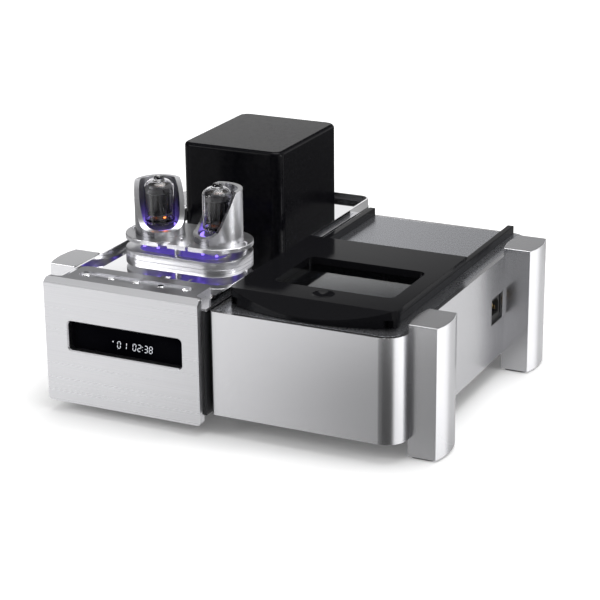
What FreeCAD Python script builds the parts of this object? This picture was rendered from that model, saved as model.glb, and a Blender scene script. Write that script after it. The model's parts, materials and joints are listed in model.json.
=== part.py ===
import FreeCAD, Part
import math
import os

# Tube CD player: display tower with a mirror deck on the left, top-loading transport on the right.
# Sizes in mm. Drawing frame: x from the left body's flank, y back from the transport's front
# face, z up from the table. Everything is moved to the bottom centre when it is exported.

V = FreeCAD.Vector
Z_AXIS = V(0, 0, 1)

# Clearances
SLIDE_GAP = 0.3
HOLE_GAP = 0.4
RUN_GAP = 0.06
SEAM = 0.15

# Display tower
FASCIA_X0 = 1.0
FASCIA_W = 172.3
FASCIA_X1 = FASCIA_X0 + FASCIA_W
FASCIA_Y0 = -13.2
FASCIA_T = 8.7
FASCIA_Z0 = 11.8
FASCIA_Z1 = 141.0
FASCIA_CHAMFER = 5.8
DISPLAY = (27.0, FASCIA_X1 - 19.1, 68.1, 98.2)
DISPLAY_R = 4.0
DISPLAY_BEVEL = 1.2
BLOCK_X0 = 19.8
BLOCK_X1 = FASCIA_X1 - 7.4
BLOCK_Y1 = 33.0
BLOCK_R = 7.0
FLARE_LEFT = 9.0
FLARE_RIGHT = FASCIA_X1 - BLOCK_X1
KEY_COUNT = 5
KEY_X0 = BLOCK_X0 + 16.1
KEY_PITCH = (BLOCK_X1 - 18.6 - KEY_X0) / (KEY_COUNT - 1)
KEY_Y = 12.0
KEY_R = 3.8
KEY_STROKE = 1.5
KEY_SHELF = 135.0
SWITCH_TOP = 120.5
SLOT_R = 7.5
SLOT_DEPTH = 2.2

# Pillars
PILLAR_W = 28.4
PILLAR_D = 49.2
PILLAR_H = 134.2
PILLAR_BULGE = 4.0
PILLAR_X_LEFT = -27.2
PILLAR_Y_FRONT_RIGHT = 25.9
PILLAR_Y_FRONT_LEFT = 44.2
PILLAR_Y_REAR = 276.5
PAD_H = 2.0
PAD_INSET = 2.2

# Bolts that hold the pillars and join the two bodies
BOLT_R = 2.3
BOLT_L = 20.0
BOLT_HEAD_R = 4.4
BOLT_HEAD_H = 2.9
BOLT_Z = (42.6, 104.6)
JOIN_Y = (60.0, 290.0)
BOSS_R = 6.5

# Right body
BODY_X0 = FASCIA_X1 + 5.5
BODY_X1 = BODY_X0 + 197.5
PILLAR_X_RIGHT = BODY_X1 - 1.9
BODY_Y1 = 352.0
BODY_Z0 = 20.6
BODY_Z1 = 127.0
BAND_R = 22.0
BAND_R_LEFT = 3.0
BAND_T = 5.0
PLATE_T = 4.0
FLOOR_T = 2.5
VENT_PITCH = 12.0
VENT_R = 1.6
REAR_X0 = BODY_X0 + BAND_R + 5.2
REAR_X1 = BODY_X1 - BAND_R - 5.3
REAR_T = 3.0

# Signal sockets in the rear panel, mains inlet in the right side
JACK_PITCH = 30.0
JACK_Z = 84.0
JACK_R = 4.15
JACK_BORE_R = 3.1
JACK_BUSH_R = 6.0
JACK_FLANGE_R = 7.5
JACKS = [(REAR_X0 + 26.0 + JACK_PITCH * i, JACK_Z) for i in range(3)]
OPTICAL = (JACKS[-1][0] + JACK_PITCH, JACK_Z)
OPTICAL_HALF = 4.9
INLET_Y = 255.4
INLET_Z = 76.5
INLET_HOLE = (INLET_Y - 16.0, INLET_Y + 16.0, INLET_Z - 15.0, INLET_Z + 13.4)
PIN_PLACES = ((0.0, 2.0), (-7.0, -2.0), (7.0, -2.0))

# Rails and lid
RAIL_X_LEFT = BODY_X0 + 11.0
RAIL_X_RIGHT = RAIL_X_LEFT + 160.8
RAIL_W = 7.2
RAIL_H = 8.0
RAIL_Y0 = 31.0
RAIL_Y1 = 350.5
LID_X0 = RAIL_X_LEFT - 3.0
LID_X1 = RAIL_X_RIGHT + RAIL_W + 3.0
LID_MIDDLE = (LID_X0 + LID_X1) / 2
LID_FRONT = 26.3
LID_BOW_Y = 9.0
LID_DROP = 12.9
LID_Y1 = 207.4
LID_H = 17.0
LID_EDGE_T = 5.0
LID_LIFT = 0.3
LID_CORNER = 3.5
LID_SKIRT = 3.6
LID_TRAVEL = 142.0
WINDOW_X0 = LID_X0 + 30.4
WINDOW_X1 = LID_X1 - 17.2
WINDOW_Y0 = 60.0
WINDOW_Y1 = 144.4
WINDOW_R = 8.0
GLASS_DEPTH = 7.6
GLASS_T = 3.0
DIMPLE = (LID_MIDDLE + 4.4, 45.4, 11.0, 3.2)

# Disc transport
SPINDLE_X = LID_MIDDLE
SPINDLE_Y = 88.0
WELL_R = 62.0
WELL_WALL = 2.5
WELL_FLOOR_Z = 108.0
HUB_R = 15.0
HUB_TOP = 114.0
SHAFT_R = 1.5
CLAMP_R = 17.0
CLAMP_LIFT = 9.0
SLED_START = 23.0
SLED_TRAVEL = 32.0
SLED_W = 13.0
TOWER_R = 5.5
ROD_R = 1.5
ROD_HALF = 17.0
ROD_Z = 96.0
SCREW_R = 1.6
SCREW_OFFSET = 26.0
GEAR_R = 6.0
FRAME_Z = 84.0
FRAME_T = 3.0
MOTOR_R = 12.0
CARRIER_T = 3.0
CARRIER_NEAR = 12.7
CARRIER_FAR = 62.4
DAMPER_H = 6.0
DAMPER_AT = ((-38, -42), (60, -42), (-38, 42), (60, 42))
POST_AT = ((-31, -36), (49, -36), (-31, 36), (49, 36))

# Boards: x0, x1, y0, y1
BOARD_RIGHT = (BODY_X0 + 14.0, BODY_X1 - 16.0, 190.0, 330.0)
BOARD_LEFT = (20.0, 156.0, 60.0, 220.0)
BOARD_LIFT = 8.0
BOARD_T = 1.6
STAND_R = 3.2
STAND_INSET = 6.0
CAN_R = 11.0
CAN_H = 30.0
REG_W = 10.0
REG_T = 4.5
REG_H = 16.0
# Chips: place across and along the board as shares of it, then width, depth and height
CHIPS = ((0.16, 0.29, 14.0, 14.0, 2.2), (0.41, 0.33, 20.0, 12.0, 2.4), (0.64, 0.29, 12.0, 12.0, 2.0),
         (0.28, 0.67, 16.0, 10.0, 2.2), (0.56, 0.66, 16.0, 10.0, 2.2), (0.82, 0.57, 12.0, 30.0, 12.0))

# Left body, tub and deck
LEFT_X0 = 0.6
LEFT_X1 = FASCIA_X1 + 2.7
LEFT_Y1 = 379.5
LEFT_T = 1.5
LEFT_FLOOR_T = 2.0
TUB_X0 = 9.0
TUB_X1 = FASCIA_X1 + 5.0
TUB_Y1 = 382.8
TUB_FLOOR = 130.2
TUB_FLOOR_T = 2.3
TUB_RIM = 137.2
TUB_WALL = 2.0
TUB_R = 12.0
DECK = (20.5, 145.5, 101.2, 171.4)
DECK_T = 8.0
DECK_R = 13.0
DECK_BORE_R = 15.0
TRAY_X = 14.0
TRAY_Y = 5.0
LIGHT_RING_R = 21.0
TUBE_X = (49.0, 116.9)
TUBE_Y = 136.5
FLANGE_R = 36.0
FLANGE_Z0 = 146.6
FLANGE_T = 4.4
SOCKET_R = 13.2
SOCKET_RIM_R = 19.0
PIN_RING_R = 8.5
GUARD_R = 25.7
GUARD_T = 5.0
GUARD_H = 54.0
GUARD_LIP = 7.0
GUARD_RISE = 10.5
# The sweep between lip and rise: distance behind the tube's axis, height above the plate
GUARD_SWEEP = ((-19.0, 7.6), (-11.8, 12.6), (-7.0, 20.6), (-2.8, 29.5), (2.1, 39.2), (6.3, 47.2))
GUARD_TURN = 38.0
BULB_R = 15.6
BULB_Z0 = 161.0
BULB_SHOULDER = 199.5
BULB_TOP = 211.0
BULB_T = 1.2
BULB_MOUTH_R = 12.2
TIP_R = 5.0
POSTS = ((83.6, 111.0), (83.6, 162.0), (27.5, 150.0), (138.5, 150.0))
POST_R = 3.9
PLATE_SCREW_R = 30.5
# Slots in the upper plate's front edge: x from, x to, depth
PLATE_SLOTS = ((66.4, 77.0, 7.0), (97.8, 101.0, 9.0))

# Transformer cover
COVER = (24.0, 142.0, 228.7, 372.0)
COVER_TOP = 220.5
COVER_R = 12.0
COVER_T = 2.0
TOROID_R = 46.0
TOROID_HOLE_R = 20.0
TOROID_H = (COVER_TOP - COVER_T - TUB_FLOOR - 20.3) / 2
CORE_BOLT_R = 4.0

SHAPES = {}


def box(x0, x1, y0, y1, z0, z1):
    return Part.makeBox(x1 - x0, y1 - y0, z1 - z0, V(x0, y0, z0))


def cyl(x, y, z0, z1, r):
    return Part.makeCylinder(r, z1 - z0, V(x, y, z0))


def rod_x(x0, x1, y, z, r):
    return Part.makeCylinder(r, x1 - x0, V(x0, y, z), V(1, 0, 0))


def rod_y(x, y0, y1, z, r):
    return Part.makeCylinder(r, y1 - y0, V(x, y0, z), V(0, 1, 0))


def prism(points, z0, z1):
    wire = Part.makePolygon([V(x, y, z0) for x, y in points] + [V(points[0][0], points[0][1], z0)])
    return Part.Face(wire).extrude(V(0, 0, z1 - z0))


def upright(solid, radius, keep=None):
    """Round the vertical edges that keep(x, y) picks."""
    edges = []
    for edge in solid.Edges:
        a, b = edge.Vertexes[0].Point, edge.Vertexes[-1].Point
        vertical = abs(a.x - b.x) < 1e-6 and abs(a.y - b.y) < 1e-6
        if vertical and (keep is None or keep(a.x, a.y)):
            edges.append(edge)
    return solid.makeFillet(radius, edges)


def rounded(x0, x1, y0, y1, z0, z1, r, keep=None):
    return upright(box(x0, x1, y0, y1, z0, z1), r, keep)


def slot_solid(x0, x1, y, r, z0, z1):
    """A pill from end centre x0 to end centre x1."""
    body = box(x0, x1, y - r, y + r, z0, z1)
    return body.fuse([cyl(x0, y, z0, z1, r), cyl(x1, y, z0, z1, r)]).removeSplitter()


def top_edges(solid, z):
    return [e for e in solid.Edges if all(abs(v.Point.z - z) < 1e-6 for v in e.Vertexes)]


def screw(x, y, z, length, head_r, shank_r):
    """A pan screw whose head sits on z and whose shank runs down."""
    head = cyl(x, y, z, z + 1.8, head_r)
    head = head.makeFillet(0.8, top_edges(head, z + 1.8)[:1])
    return head.cut(cyl(x, y, z + 0.9, z + 2, 1.1)).fuse(cyl(x, y, z - length, z, shank_r))


def add(name, shape):
    if name in SHAPES:
        raise ValueError(name)
    SHAPES[name] = shape


# pillars


def pillar(x, y, chassis_face, cap_z, inner_side):
    """A pillar with convex flanks, notched where the body is let in below its cap."""
    a, b = V(x, y, PAD_H), V(x + PILLAR_W, y, PAD_H)
    c, d = V(x + PILLAR_W, y + PILLAR_D, PAD_H), V(x, y + PILLAR_D, PAD_H)
    mid = y + PILLAR_D / 2
    right = Part.Arc(b, V(x + PILLAR_W + PILLAR_BULGE, mid, PAD_H), c).toShape()
    left = Part.Arc(d, V(x - PILLAR_BULGE, mid, PAD_H), a).toShape()
    outline = Part.Wire([Part.makeLine(a, b), right, Part.makeLine(c, d), left])
    body = Part.Face(outline).extrude(V(0, 0, PILLAR_H - PAD_H))
    rims = top_edges(body, PILLAR_H)
    body = body.makeFillet(0.8, rims)
    x0, x1 = sorted((chassis_face, chassis_face + inner_side * 40))
    return body.cut(box(x0, x1, y - 1, y + PILLAR_D + 1, BODY_Z0, cap_z))


def build_pillars():
    # Face that the pillars stand at, underside of their caps, way into the body, wall of the body
    left = (LEFT_X0, TUB_FLOOR - TUB_FLOOR_T, 1, LEFT_T)
    right = (BODY_X1, BODY_Z1, -1, BAND_T)
    places = {
        "pillar_front_left": (PILLAR_X_LEFT, PILLAR_Y_FRONT_LEFT, left),
        "pillar_rear_left": (PILLAR_X_LEFT, PILLAR_Y_REAR, left),
        "pillar_front_right": (PILLAR_X_RIGHT, PILLAR_Y_FRONT_RIGHT, right),
        "pillar_rear_right": (PILLAR_X_RIGHT, PILLAR_Y_REAR, right),
    }
    pads = []
    bolts = []
    for name, (x, y, (face, cap, inner, wall)) in places.items():
        body = pillar(x, y, face, cap, inner)
        for z in BOLT_Z:
            seat = face + inner * wall
            middle = V(seat, y + PILLAR_D / 2, z)
            body = body.cut(Part.makeCylinder(BOLT_R + RUN_GAP, BOLT_L + 2, middle, V(-inner, 0, 0)))
            bolts.append(bolt_along_x(middle.x, middle.y, z, -inner))
        add(name, body)
        x0, x1 = x + PAD_INSET, x + PILLAR_W - PAD_INSET
        y0, y1 = y + PAD_INSET, y + PILLAR_D - PAD_INSET
        pads.append(rounded(x0, x1, y0, y1, 0, PAD_H, 4.0))
    for y in JOIN_Y:
        bolts += [bolt_along_x(BODY_X0 + BAND_T, y, z, -1) for z in BOLT_Z]
    add("foot_pads", Part.makeCompound(pads))
    add("body_bolts", Part.makeCompound(bolts))


def bolt_along_x(seat, y, z, direction):
    """A cap bolt: the head sits on the seat, the shank runs along direction."""
    shank = Part.makeCylinder(BOLT_R, BOLT_L, V(seat, y, z), V(direction, 0, 0))
    head = Part.makeCylinder(BOLT_HEAD_R, BOLT_HEAD_H, V(seat, y, z), V(-direction, 0, 0))
    rims = [e for e in head.Edges if abs(e.Vertexes[0].Point.x - (seat - direction * BOLT_HEAD_H)) < 1e-6]
    head = head.makeChamfer(0.4, rims[:1])
    deep = V(seat - direction * (BOLT_HEAD_H - 2.0), y, z)
    socket = Part.makeCylinder(2.0, 2.0, deep, V(-direction, 0, 0))
    return head.cut(socket).fuse(shank)


def bolt_holes(x, ys, r):
    """Holes along X through a wall near x, at both bolt heights."""
    return [Part.makeCylinder(r, 24, V(x - 12, y, z), V(1, 0, 0)) for y in ys for z in BOLT_Z]


# right body


def body_outline(inset, z0, z1):
    """The right body's plan, drawn in by inset: wide free corners, tight ones beside the tower."""
    middle = (BODY_X0 + BODY_X1) / 2
    shape = rounded(BODY_X0 + inset, BODY_X1 - inset, inset, BODY_Y1 - inset, z0, z1, BAND_R - inset,
                    lambda x, y: x > middle)
    if inset < BAND_R_LEFT:
        shape = upright(shape, BAND_R_LEFT - inset, lambda x, y: x < middle)
    return shape


def build_right_body():
    band = body_outline(0, BODY_Z0, BODY_Z1).cut(body_outline(BAND_T, BODY_Z0 - 1, BODY_Z1 + 1))
    band = band.cut(box(REAR_X0, REAR_X1, BODY_Y1 - BAND_T - 1, BODY_Y1 + 1, BODY_Z0 + 8, BODY_Z1 - 8))
    lip = box(REAR_X0 - 6, REAR_X1 + 6, BODY_Y1 - BAND_T - 1, BODY_Y1 - REAR_T + 1.0,
              BODY_Z0 + 3, BODY_Z1 - PLATE_T - 0.5)
    band = band.cut(lip)
    y0, y1, z0, z1 = INLET_HOLE
    band = band.cut(box(BODY_X1 - BAND_T - 1, BODY_X1 + 1, y0, y1, z0, z1))
    right_ys = [y + PILLAR_D / 2 for y in (PILLAR_Y_FRONT_RIGHT, PILLAR_Y_REAR)]
    band = band.cut(bolt_holes(BODY_X1, right_ys, BOLT_R + RUN_GAP))
    band = band.cut(bolt_holes(BODY_X0, JOIN_Y, BOLT_R + RUN_GAP))
    add("wrap_band", band)

    inside = BAND_T + SEAM
    plate = body_outline(inside, BODY_Z1 - PLATE_T, BODY_Z1)
    plate = plate.cut(cyl(SPINDLE_X, SPINDLE_Y, BODY_Z1 - PLATE_T - 1, BODY_Z1 + 1, WELL_R))
    add("top_plate", plate)

    for name, x in (("rail_left", RAIL_X_LEFT), ("rail_right", RAIL_X_RIGHT)):
        rail = box(x, x + RAIL_W, RAIL_Y0, RAIL_Y1, BODY_Z1, BODY_Z1 + RAIL_H)
        long_top = [e for e in top_edges(rail, BODY_Z1 + RAIL_H) if e.Length > 100]
        rail = rail.makeChamfer(0.5, long_top)
        add(name, rail)

    floor = body_outline(inside, BODY_Z0, BODY_Z0 + FLOOR_T)
    vents = [slot_solid(BODY_X0 + 88, BODY_X0 + 128, 206 + VENT_PITCH * i, VENT_R,
                        BODY_Z0 - 1, BODY_Z0 + FLOOR_T + 1) for i in range(10)]
    floor = floor.cut(vents)
    stands = [cyl(SPINDLE_X + dx, SPINDLE_Y + dy, BODY_Z0 + FLOOR_T, FRAME_Z - DAMPER_H, 4.5)
              for dx, dy in DAMPER_AT]
    for x in BOARD_RIGHT[:2]:
        for y in BOARD_RIGHT[2:]:
            px = x + (STAND_INSET if x == BOARD_RIGHT[0] else -STAND_INSET)
            py = y + (STAND_INSET if y == BOARD_RIGHT[2] else -STAND_INSET)
            stands.append(cyl(px, py, BODY_Z0 + FLOOR_T, BODY_Z0 + FLOOR_T + BOARD_LIFT, STAND_R))
    add("transport_floor", floor.fuse(stands).removeSplitter())

    panel = box(REAR_X0 - 5, REAR_X1 + 5, BODY_Y1 - REAR_T - 2.0, BODY_Y1 - REAR_T + 1.0,
                BODY_Z0 + 3.6, BODY_Z1 - PLATE_T - 1.0)
    jacks = []
    for x, z in JACKS:
        panel = panel.cut(rod_y(x, BODY_Y1 - REAR_T - 3, BODY_Y1, z, JACK_BUSH_R + 0.2))
        shell = rod_y(x, BODY_Y1 - REAR_T - 22, BODY_Y1 + 6.5, z, JACK_R)
        flange = rod_y(x, BODY_Y1 - REAR_T + 1.0, BODY_Y1 - REAR_T + 3.4, z, JACK_FLANGE_R)
        bush = rod_y(x, BODY_Y1 - REAR_T - 3.5, BODY_Y1 - REAR_T + 1.0, z, JACK_BUSH_R)
        bore = rod_y(x, BODY_Y1 - 9, BODY_Y1 + 7, z, JACK_BORE_R)
        pin_hole = rod_y(x, BODY_Y1 - 18, BODY_Y1 - 8, z, 1.6)
        jacks.append(shell.fuse([flange, bush]).cut([bore, pin_hole]).removeSplitter())
    ox, oz = OPTICAL
    hole, half, mouth = OPTICAL_HALF + 0.1, OPTICAL_HALF, 2.6
    panel = panel.cut(box(ox - hole, ox + hole, BODY_Y1 - REAR_T - 3, BODY_Y1, oz - hole, oz + hole))
    add("rear_panel", panel)
    add("output_jacks", Part.makeCompound(jacks))
    optical = box(ox - half, ox + half, BODY_Y1 - 18, BODY_Y1 - 0.5, oz - half, oz + half)
    optical = optical.cut(box(ox - mouth, ox + mouth, BODY_Y1 - 9, BODY_Y1, oz - mouth, oz + mouth))
    add("optical_socket", optical)


def build_inlet():
    """A three-pin appliance inlet set behind the opening in the band."""
    y, z = INLET_Y, INLET_Z
    face = BODY_X1 - BAND_T + 1.6
    plate = box(BODY_X1 - BAND_T - 2.0, BODY_X1 - BAND_T - 0.02, y - 19, y + 19, z - 18, z + 16.5)
    nose = box(BODY_X1 - BAND_T - 2.0, face, y - 14.2, y + 14.2, z - 11.9, z + 11.9)
    body = box(BODY_X1 - BAND_T - 28, BODY_X1 - BAND_T - 2.0, y - 14.0, y + 14.0, z - 11.5, z + 11.5)
    inlet = plate.fuse([nose, body])
    top, bottom, half, cut = z + 8.2, z - 8.0, 11.8, 5.0
    outline = [(y - half, bottom), (y + half, bottom), (y + half, top - cut), (y + half - cut, top),
               (y - half + cut, top), (y - half, top - cut)]
    wire = Part.makePolygon([V(face + 1, a, b) for a, b in outline + outline[:1]])
    inlet = inlet.cut(Part.Face(wire).extrude(V(-17.0, 0, 0)))
    pins = []
    x0 = face - 16.0 + 0.02
    for dy, dz in PIN_PLACES:
        pins.append(box(x0, face - 2.0, y + dy - 1.0, y + dy + 1.0, z + dz - 2.0, z + dz + 2.0))
    add("power_inlet", inlet.removeSplitter())
    add("inlet_pins", Part.makeCompound(pins))


# lid


def bow_arc(z):
    """Three points of the bowed front edge."""
    end = LID_FRONT + 0.9
    return V(LID_X0, end, z), V(LID_MIDDLE, LID_BOW_Y, z), V(LID_X1, end, z)


def lid_outline(z):
    a, m, b = bow_arc(z)
    arc = Part.Arc(a, m, b).toShape()
    back_r, back_l = V(LID_X1, LID_Y1, z), V(LID_X0, LID_Y1, z)
    return Part.Wire([arc, Part.makeLine(b, back_r), Part.makeLine(back_r, back_l),
                      Part.makeLine(back_l, a)])


def build_lid():
    """One milled lid: bowed nose, sloping facet, sunk window, runners over the rails."""
    z0 = BODY_Z1 + LID_LIFT
    z1 = BODY_Z1 + LID_LIFT + LID_H
    edge_z = z1 - LID_EDGE_T
    lid = Part.Face(lid_outline(z0)).extrude(V(0, 0, z1 - z0))
    for x in (LID_X0, LID_X1):
        side = 1 if x == LID_X0 else -1
        y = LID_FRONT + 0.9
        wedge = prism([(x - side, y - 3), (x + side * LID_CORNER, y - 3),
                       (x + side * LID_CORNER, y - 0.4), (x, y + LID_CORNER), (x - side, y + LID_CORNER)],
                      z0 - 1, z1 + 1)
        lid = lid.cut(wedge)
    low_y = LID_FRONT - 1.3 * (LID_FRONT - LID_BOW_Y)
    facet = [V(0, LID_FRONT, z1), V(0, low_y, z1 - 1.3 * LID_DROP), V(0, low_y - 2, z1 + 5),
             V(0, LID_FRONT, z1 + 5), V(0, LID_FRONT, z1)]
    wedge = Part.Face(Part.makePolygon(facet)).extrude(V(600, 0, 0))
    lid = lid.cut(wedge)
    rear = LID_Y1 - 1.2
    behind = [V(0, rear, z1), V(0, LID_Y1 + 1, z1 - 2.2), V(0, LID_Y1 + 1, z1 + 1), V(0, rear, z1)]
    lid = lid.cut(Part.Face(Part.makePolygon(behind)).extrude(V(600, 0, 0)))

    nose_back = LID_FRONT + 12.0
    rail_l0, rail_l1 = RAIL_X_LEFT, RAIL_X_LEFT + RAIL_W
    rail_r0, rail_r1 = RAIL_X_RIGHT, RAIL_X_RIGHT + RAIL_W
    groove_z = BODY_Z1 + RAIL_H + SLIDE_GAP
    far = LID_Y1 + 1
    tools = [
        box(rail_l0 - SLIDE_GAP, rail_l1 + SLIDE_GAP, 0, far, z0 - 1, groove_z),
        box(rail_r0 - SLIDE_GAP, rail_r1 + SLIDE_GAP, 0, far, z0 - 1, groove_z),
        box(LID_X0 - 1, rail_l0, nose_back, far, z0 - 1, edge_z),
        box(rail_r1, LID_X1 + 1, nose_back, far, z0 - 1, edge_z),
    ]
    pocket_x0 = rail_l1 + SLIDE_GAP + LID_SKIRT
    pocket_x1 = rail_r0 - SLIDE_GAP - LID_SKIRT
    ceiling = z1 - GLASS_DEPTH
    tools.append(rounded(pocket_x0, pocket_x1, nose_back + 4, LID_Y1 - 4, z0 - 1, ceiling, 4.0))
    tools.append(rounded(WINDOW_X0, WINDOW_X1, WINDOW_Y0, WINDOW_Y1, ceiling - 1, z1 + 1, WINDOW_R))
    x, y, r, depth = DIMPLE
    ball = (r * r + depth * depth) / (2 * depth)
    tools.append(Part.makeSphere(ball, V(x, y, z1 - depth + ball)))
    lid = lid.cut(tools)
    add("lid", lid)

    over = 3.0
    glass = rounded(WINDOW_X0 - over, min(WINDOW_X1 + over, pocket_x1 - 0.1), WINDOW_Y0 - over,
                    WINDOW_Y1 + over, ceiling - GLASS_T, ceiling, WINDOW_R)
    add("lid_glass", glass)


# disc transport


def build_transport():
    x, y = SPINDLE_X, SPINDLE_Y
    floor = WELL_FLOOR_Z
    plate_under = BODY_Z1 - PLATE_T
    cup = cyl(x, y, floor - WELL_WALL, plate_under, WELL_R + WELL_WALL)
    cup = cup.fuse(cyl(x, y, plate_under - 2.0, plate_under, WELL_R + 8))
    cup = cup.cut(cyl(x, y, floor, plate_under + 1, WELL_R))
    step = cyl(x, y, floor, floor + 2.2, WELL_R + 0.5).cut(cyl(x, y, floor - 1, floor + 3, 46))
    cup = cup.fuse(step)
    slot_end = x + SLED_START + SLED_TRAVEL
    cup = cup.cut([cyl(x, y, floor - 6, floor + 4, HUB_R + 2),
                   slot_solid(x + HUB_R, slot_end, y, TOWER_R + 0.7, floor - 6, floor + 4)])
    add("disc_well", cup.removeSplitter())

    frame_z1 = FRAME_Z + FRAME_T
    near, far = x + CARRIER_NEAR, x + CARRIER_FAR
    frame = rounded(x - 44, far + CARRIER_T + 3, y - 48, y + 48, FRAME_Z, frame_z1, 6.0)
    gap = rounded(near + CARRIER_T + 1, far - 1, y - 12, y + 12, FRAME_Z - 1, frame_z1 + 1, 3.0)
    frame = frame.cut([cyl(x, y, FRAME_Z - 1, frame_z1 + 1, MOTOR_R + 0.1), gap])
    posts = [cyl(x + dx, y + dy, frame_z1, floor - WELL_WALL, 4.0) for dx, dy in POST_AT]
    carriers = [box(bx, bx + CARRIER_T, y - ROD_HALF - 5, y + SCREW_OFFSET + 5, frame_z1, ROD_Z + 3.2)
                for bx in (near, far)]
    frame = frame.fuse(posts + carriers)
    bores = [rod_x(near - 1, far + CARRIER_T + 1, y + dy, ROD_Z, ROD_R) for dy in (-ROD_HALF, ROD_HALF)]
    bores.append(rod_x(near - 1, far + CARRIER_T + 1, y + SCREW_OFFSET, ROD_Z, SCREW_R + RUN_GAP))
    bores += [cyl(x + dx, y + dy, FRAME_Z - 1, frame_z1 + 1, 2.5 + RUN_GAP) for dx, dy in DAMPER_AT]
    add("transport_frame", frame.cut(bores).removeSplitter())

    rods = [rod_x(near, far + CARRIER_T, y + dy, ROD_Z, ROD_R) for dy in (-ROD_HALF, ROD_HALF)]
    add("pickup_rods", Part.makeCompound(rods))

    dampers = []
    for dx, dy in DAMPER_AT:
        body = cyl(x + dx, y + dy, FRAME_Z - DAMPER_H, FRAME_Z, 5.5)
        waist = Part.makeTorus(6.6, 2.0, V(x + dx, y + dy, FRAME_Z - DAMPER_H / 2))
        stub = cyl(x + dx, y + dy, FRAME_Z - 1, frame_z1 + 1.5, 2.5)
        dampers.append(body.cut(waist).fuse(stub))
    add("frame_dampers", Part.makeCompound(dampers))

    motor = cyl(x, y, FRAME_Z - 9.0, FRAME_Z + 6.0, MOTOR_R)
    motor = motor.fuse([cyl(x, y, FRAME_Z + 6.0, FRAME_Z + 8.0, 4.0),
                        cyl(x, y, FRAME_Z - 2.0, FRAME_Z, MOTOR_R + 4)])
    motor = motor.cut(cyl(x, y, FRAME_Z - 6.0, FRAME_Z + 9.0, SHAFT_R + RUN_GAP))
    add("spindle_motor", motor.removeSplitter())

    rotor = cyl(x, y, FRAME_Z - 5.0, HUB_TOP - 3.0, SHAFT_R)
    table = cyl(x, y, HUB_TOP - 4.5, HUB_TOP, HUB_R)
    cone = Part.makeCone(7.4, 5.2, 4.0, V(x, y, HUB_TOP))
    rotor = rotor.fuse([table, cone])
    rotor = rotor.cut(cyl(x, y, HUB_TOP + 1.5, HUB_TOP + 5, 2.2))
    recesses = []
    for i in range(3):
        angle = math.radians(90 + 120 * i)
        px, py = x + 12.2 * math.cos(angle), y + 12.2 * math.sin(angle)
        recesses.append(cyl(px, py, HUB_TOP - 1.0, HUB_TOP + 1, 1.6))
    add("turntable", rotor.cut(recesses).removeSplitter())

    clamp_z = HUB_TOP + 1.4
    top = clamp_z + 7.0
    clamp = cyl(x, y, clamp_z, top, CLAMP_R)
    clamp = clamp.makeFillet(1.5, top_edges(clamp, top)[:1])
    clamp = clamp.cut([Part.makeCone(7.9, 5.9, 3.6, V(x, y, clamp_z - 0.01)),
                       cyl(x, y, top - 1.4, top + 1, 11.0)])
    foot = cyl(x, y, HUB_TOP, clamp_z + 0.5, HUB_R - 0.6).cut(cyl(x, y, HUB_TOP - 1, clamp_z + 1, 9.2))
    clamp = clamp.fuse([cyl(x, y, top - 1.4, top + 1.6, 3.2), foot])
    add("disc_clamp", clamp.removeSplitter())

    lens_x = x + SLED_START
    half = SLED_W / 2
    sled = box(lens_x - half, lens_x + half, y - ROD_HALF - 4, y + ROD_HALF + 4, ROD_Z - 4.0, ROD_Z + 3.5)
    nut = box(lens_x - 4, lens_x + 4, y + ROD_HALF + 3, y + SCREW_OFFSET + 4, ROD_Z - 3.6, ROD_Z + 3.4)
    sled = sled.fuse([nut, cyl(lens_x, y, ROD_Z + 3.5, floor + 0.8, TOWER_R)])
    x0, x1 = lens_x - half - 1, lens_x + half + 1
    bores = [rod_x(x0, x1, y + dy, ROD_Z, ROD_R + RUN_GAP) for dy in (-ROD_HALF, ROD_HALF)]
    bores.append(rod_x(x0, x1, y + SCREW_OFFSET, ROD_Z, SCREW_R + RUN_GAP))
    bores.append(cyl(lens_x, y, floor - 0.6, floor + 2, 3.4))
    lens = Part.makeSphere(5.0, V(lens_x, y, floor - 3.9)).common(cyl(lens_x, y, floor - 1, floor + 2, 3.0))
    add("pickup_sled", sled.cut(bores).fuse(lens).removeSplitter())

    gear_x = far + CARRIER_T + 0.6
    shaft = rod_x(near - 2.0, gear_x + 5.0, y + SCREW_OFFSET, ROD_Z, SCREW_R)
    wheel = rod_x(gear_x, gear_x + 4.0, y + SCREW_OFFSET, ROD_Z, GEAR_R)
    gaps = []
    for i in range(16):
        angle = 2 * math.pi * i / 16
        ty = y + SCREW_OFFSET + (GEAR_R + 0.2) * math.cos(angle)
        tz = ROD_Z + (GEAR_R + 0.2) * math.sin(angle)
        gaps.append(rod_x(gear_x - 1, gear_x + 5.0, ty, tz, 0.7))
    collar = rod_x(near - 2.0, near - 0.5, y + SCREW_OFFSET, ROD_Z, SCREW_R + 1.2)
    add("sled_screw", shaft.fuse([wheel.cut(gaps), collar]).removeSplitter())


# display tower


def fascia_plate():
    y0, y1 = FASCIA_Y0, FASCIA_Y0 + FASCIA_T
    c = FASCIA_CHAMFER
    corners = ((y0, FASCIA_Z0), (y1, FASCIA_Z0), (y1, FASCIA_Z1), (y0 + c, FASCIA_Z1), (y0, FASCIA_Z1 - c))
    side = [V(FASCIA_X0, y, z) for y, z in corners + corners[:1]]
    plate = Part.Face(Part.makePolygon(side)).extrude(V(FASCIA_W, 0, 0))
    front = box(FASCIA_X0, FASCIA_X1, y0 - 1, y1 + 1, FASCIA_Z0, FASCIA_Z1)
    corners = [e for e in front.Edges if abs(e.Vertexes[0].Point.y - e.Vertexes[-1].Point.y) > 1]
    return plate.common(front.makeFillet(3.5, corners))


def flare(x, side, r, z0, z1):
    """A concave web of radius r that blends the block's flank into the plate's back."""
    y = FASCIA_Y0 + FASCIA_T
    web = box(min(x, x + side * r), max(x, x + side * r), y, y + r, z0, z1)
    return web.cut(cyl(x + side * r, y + r, z0 - 1, z1 + 1, r))


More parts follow.
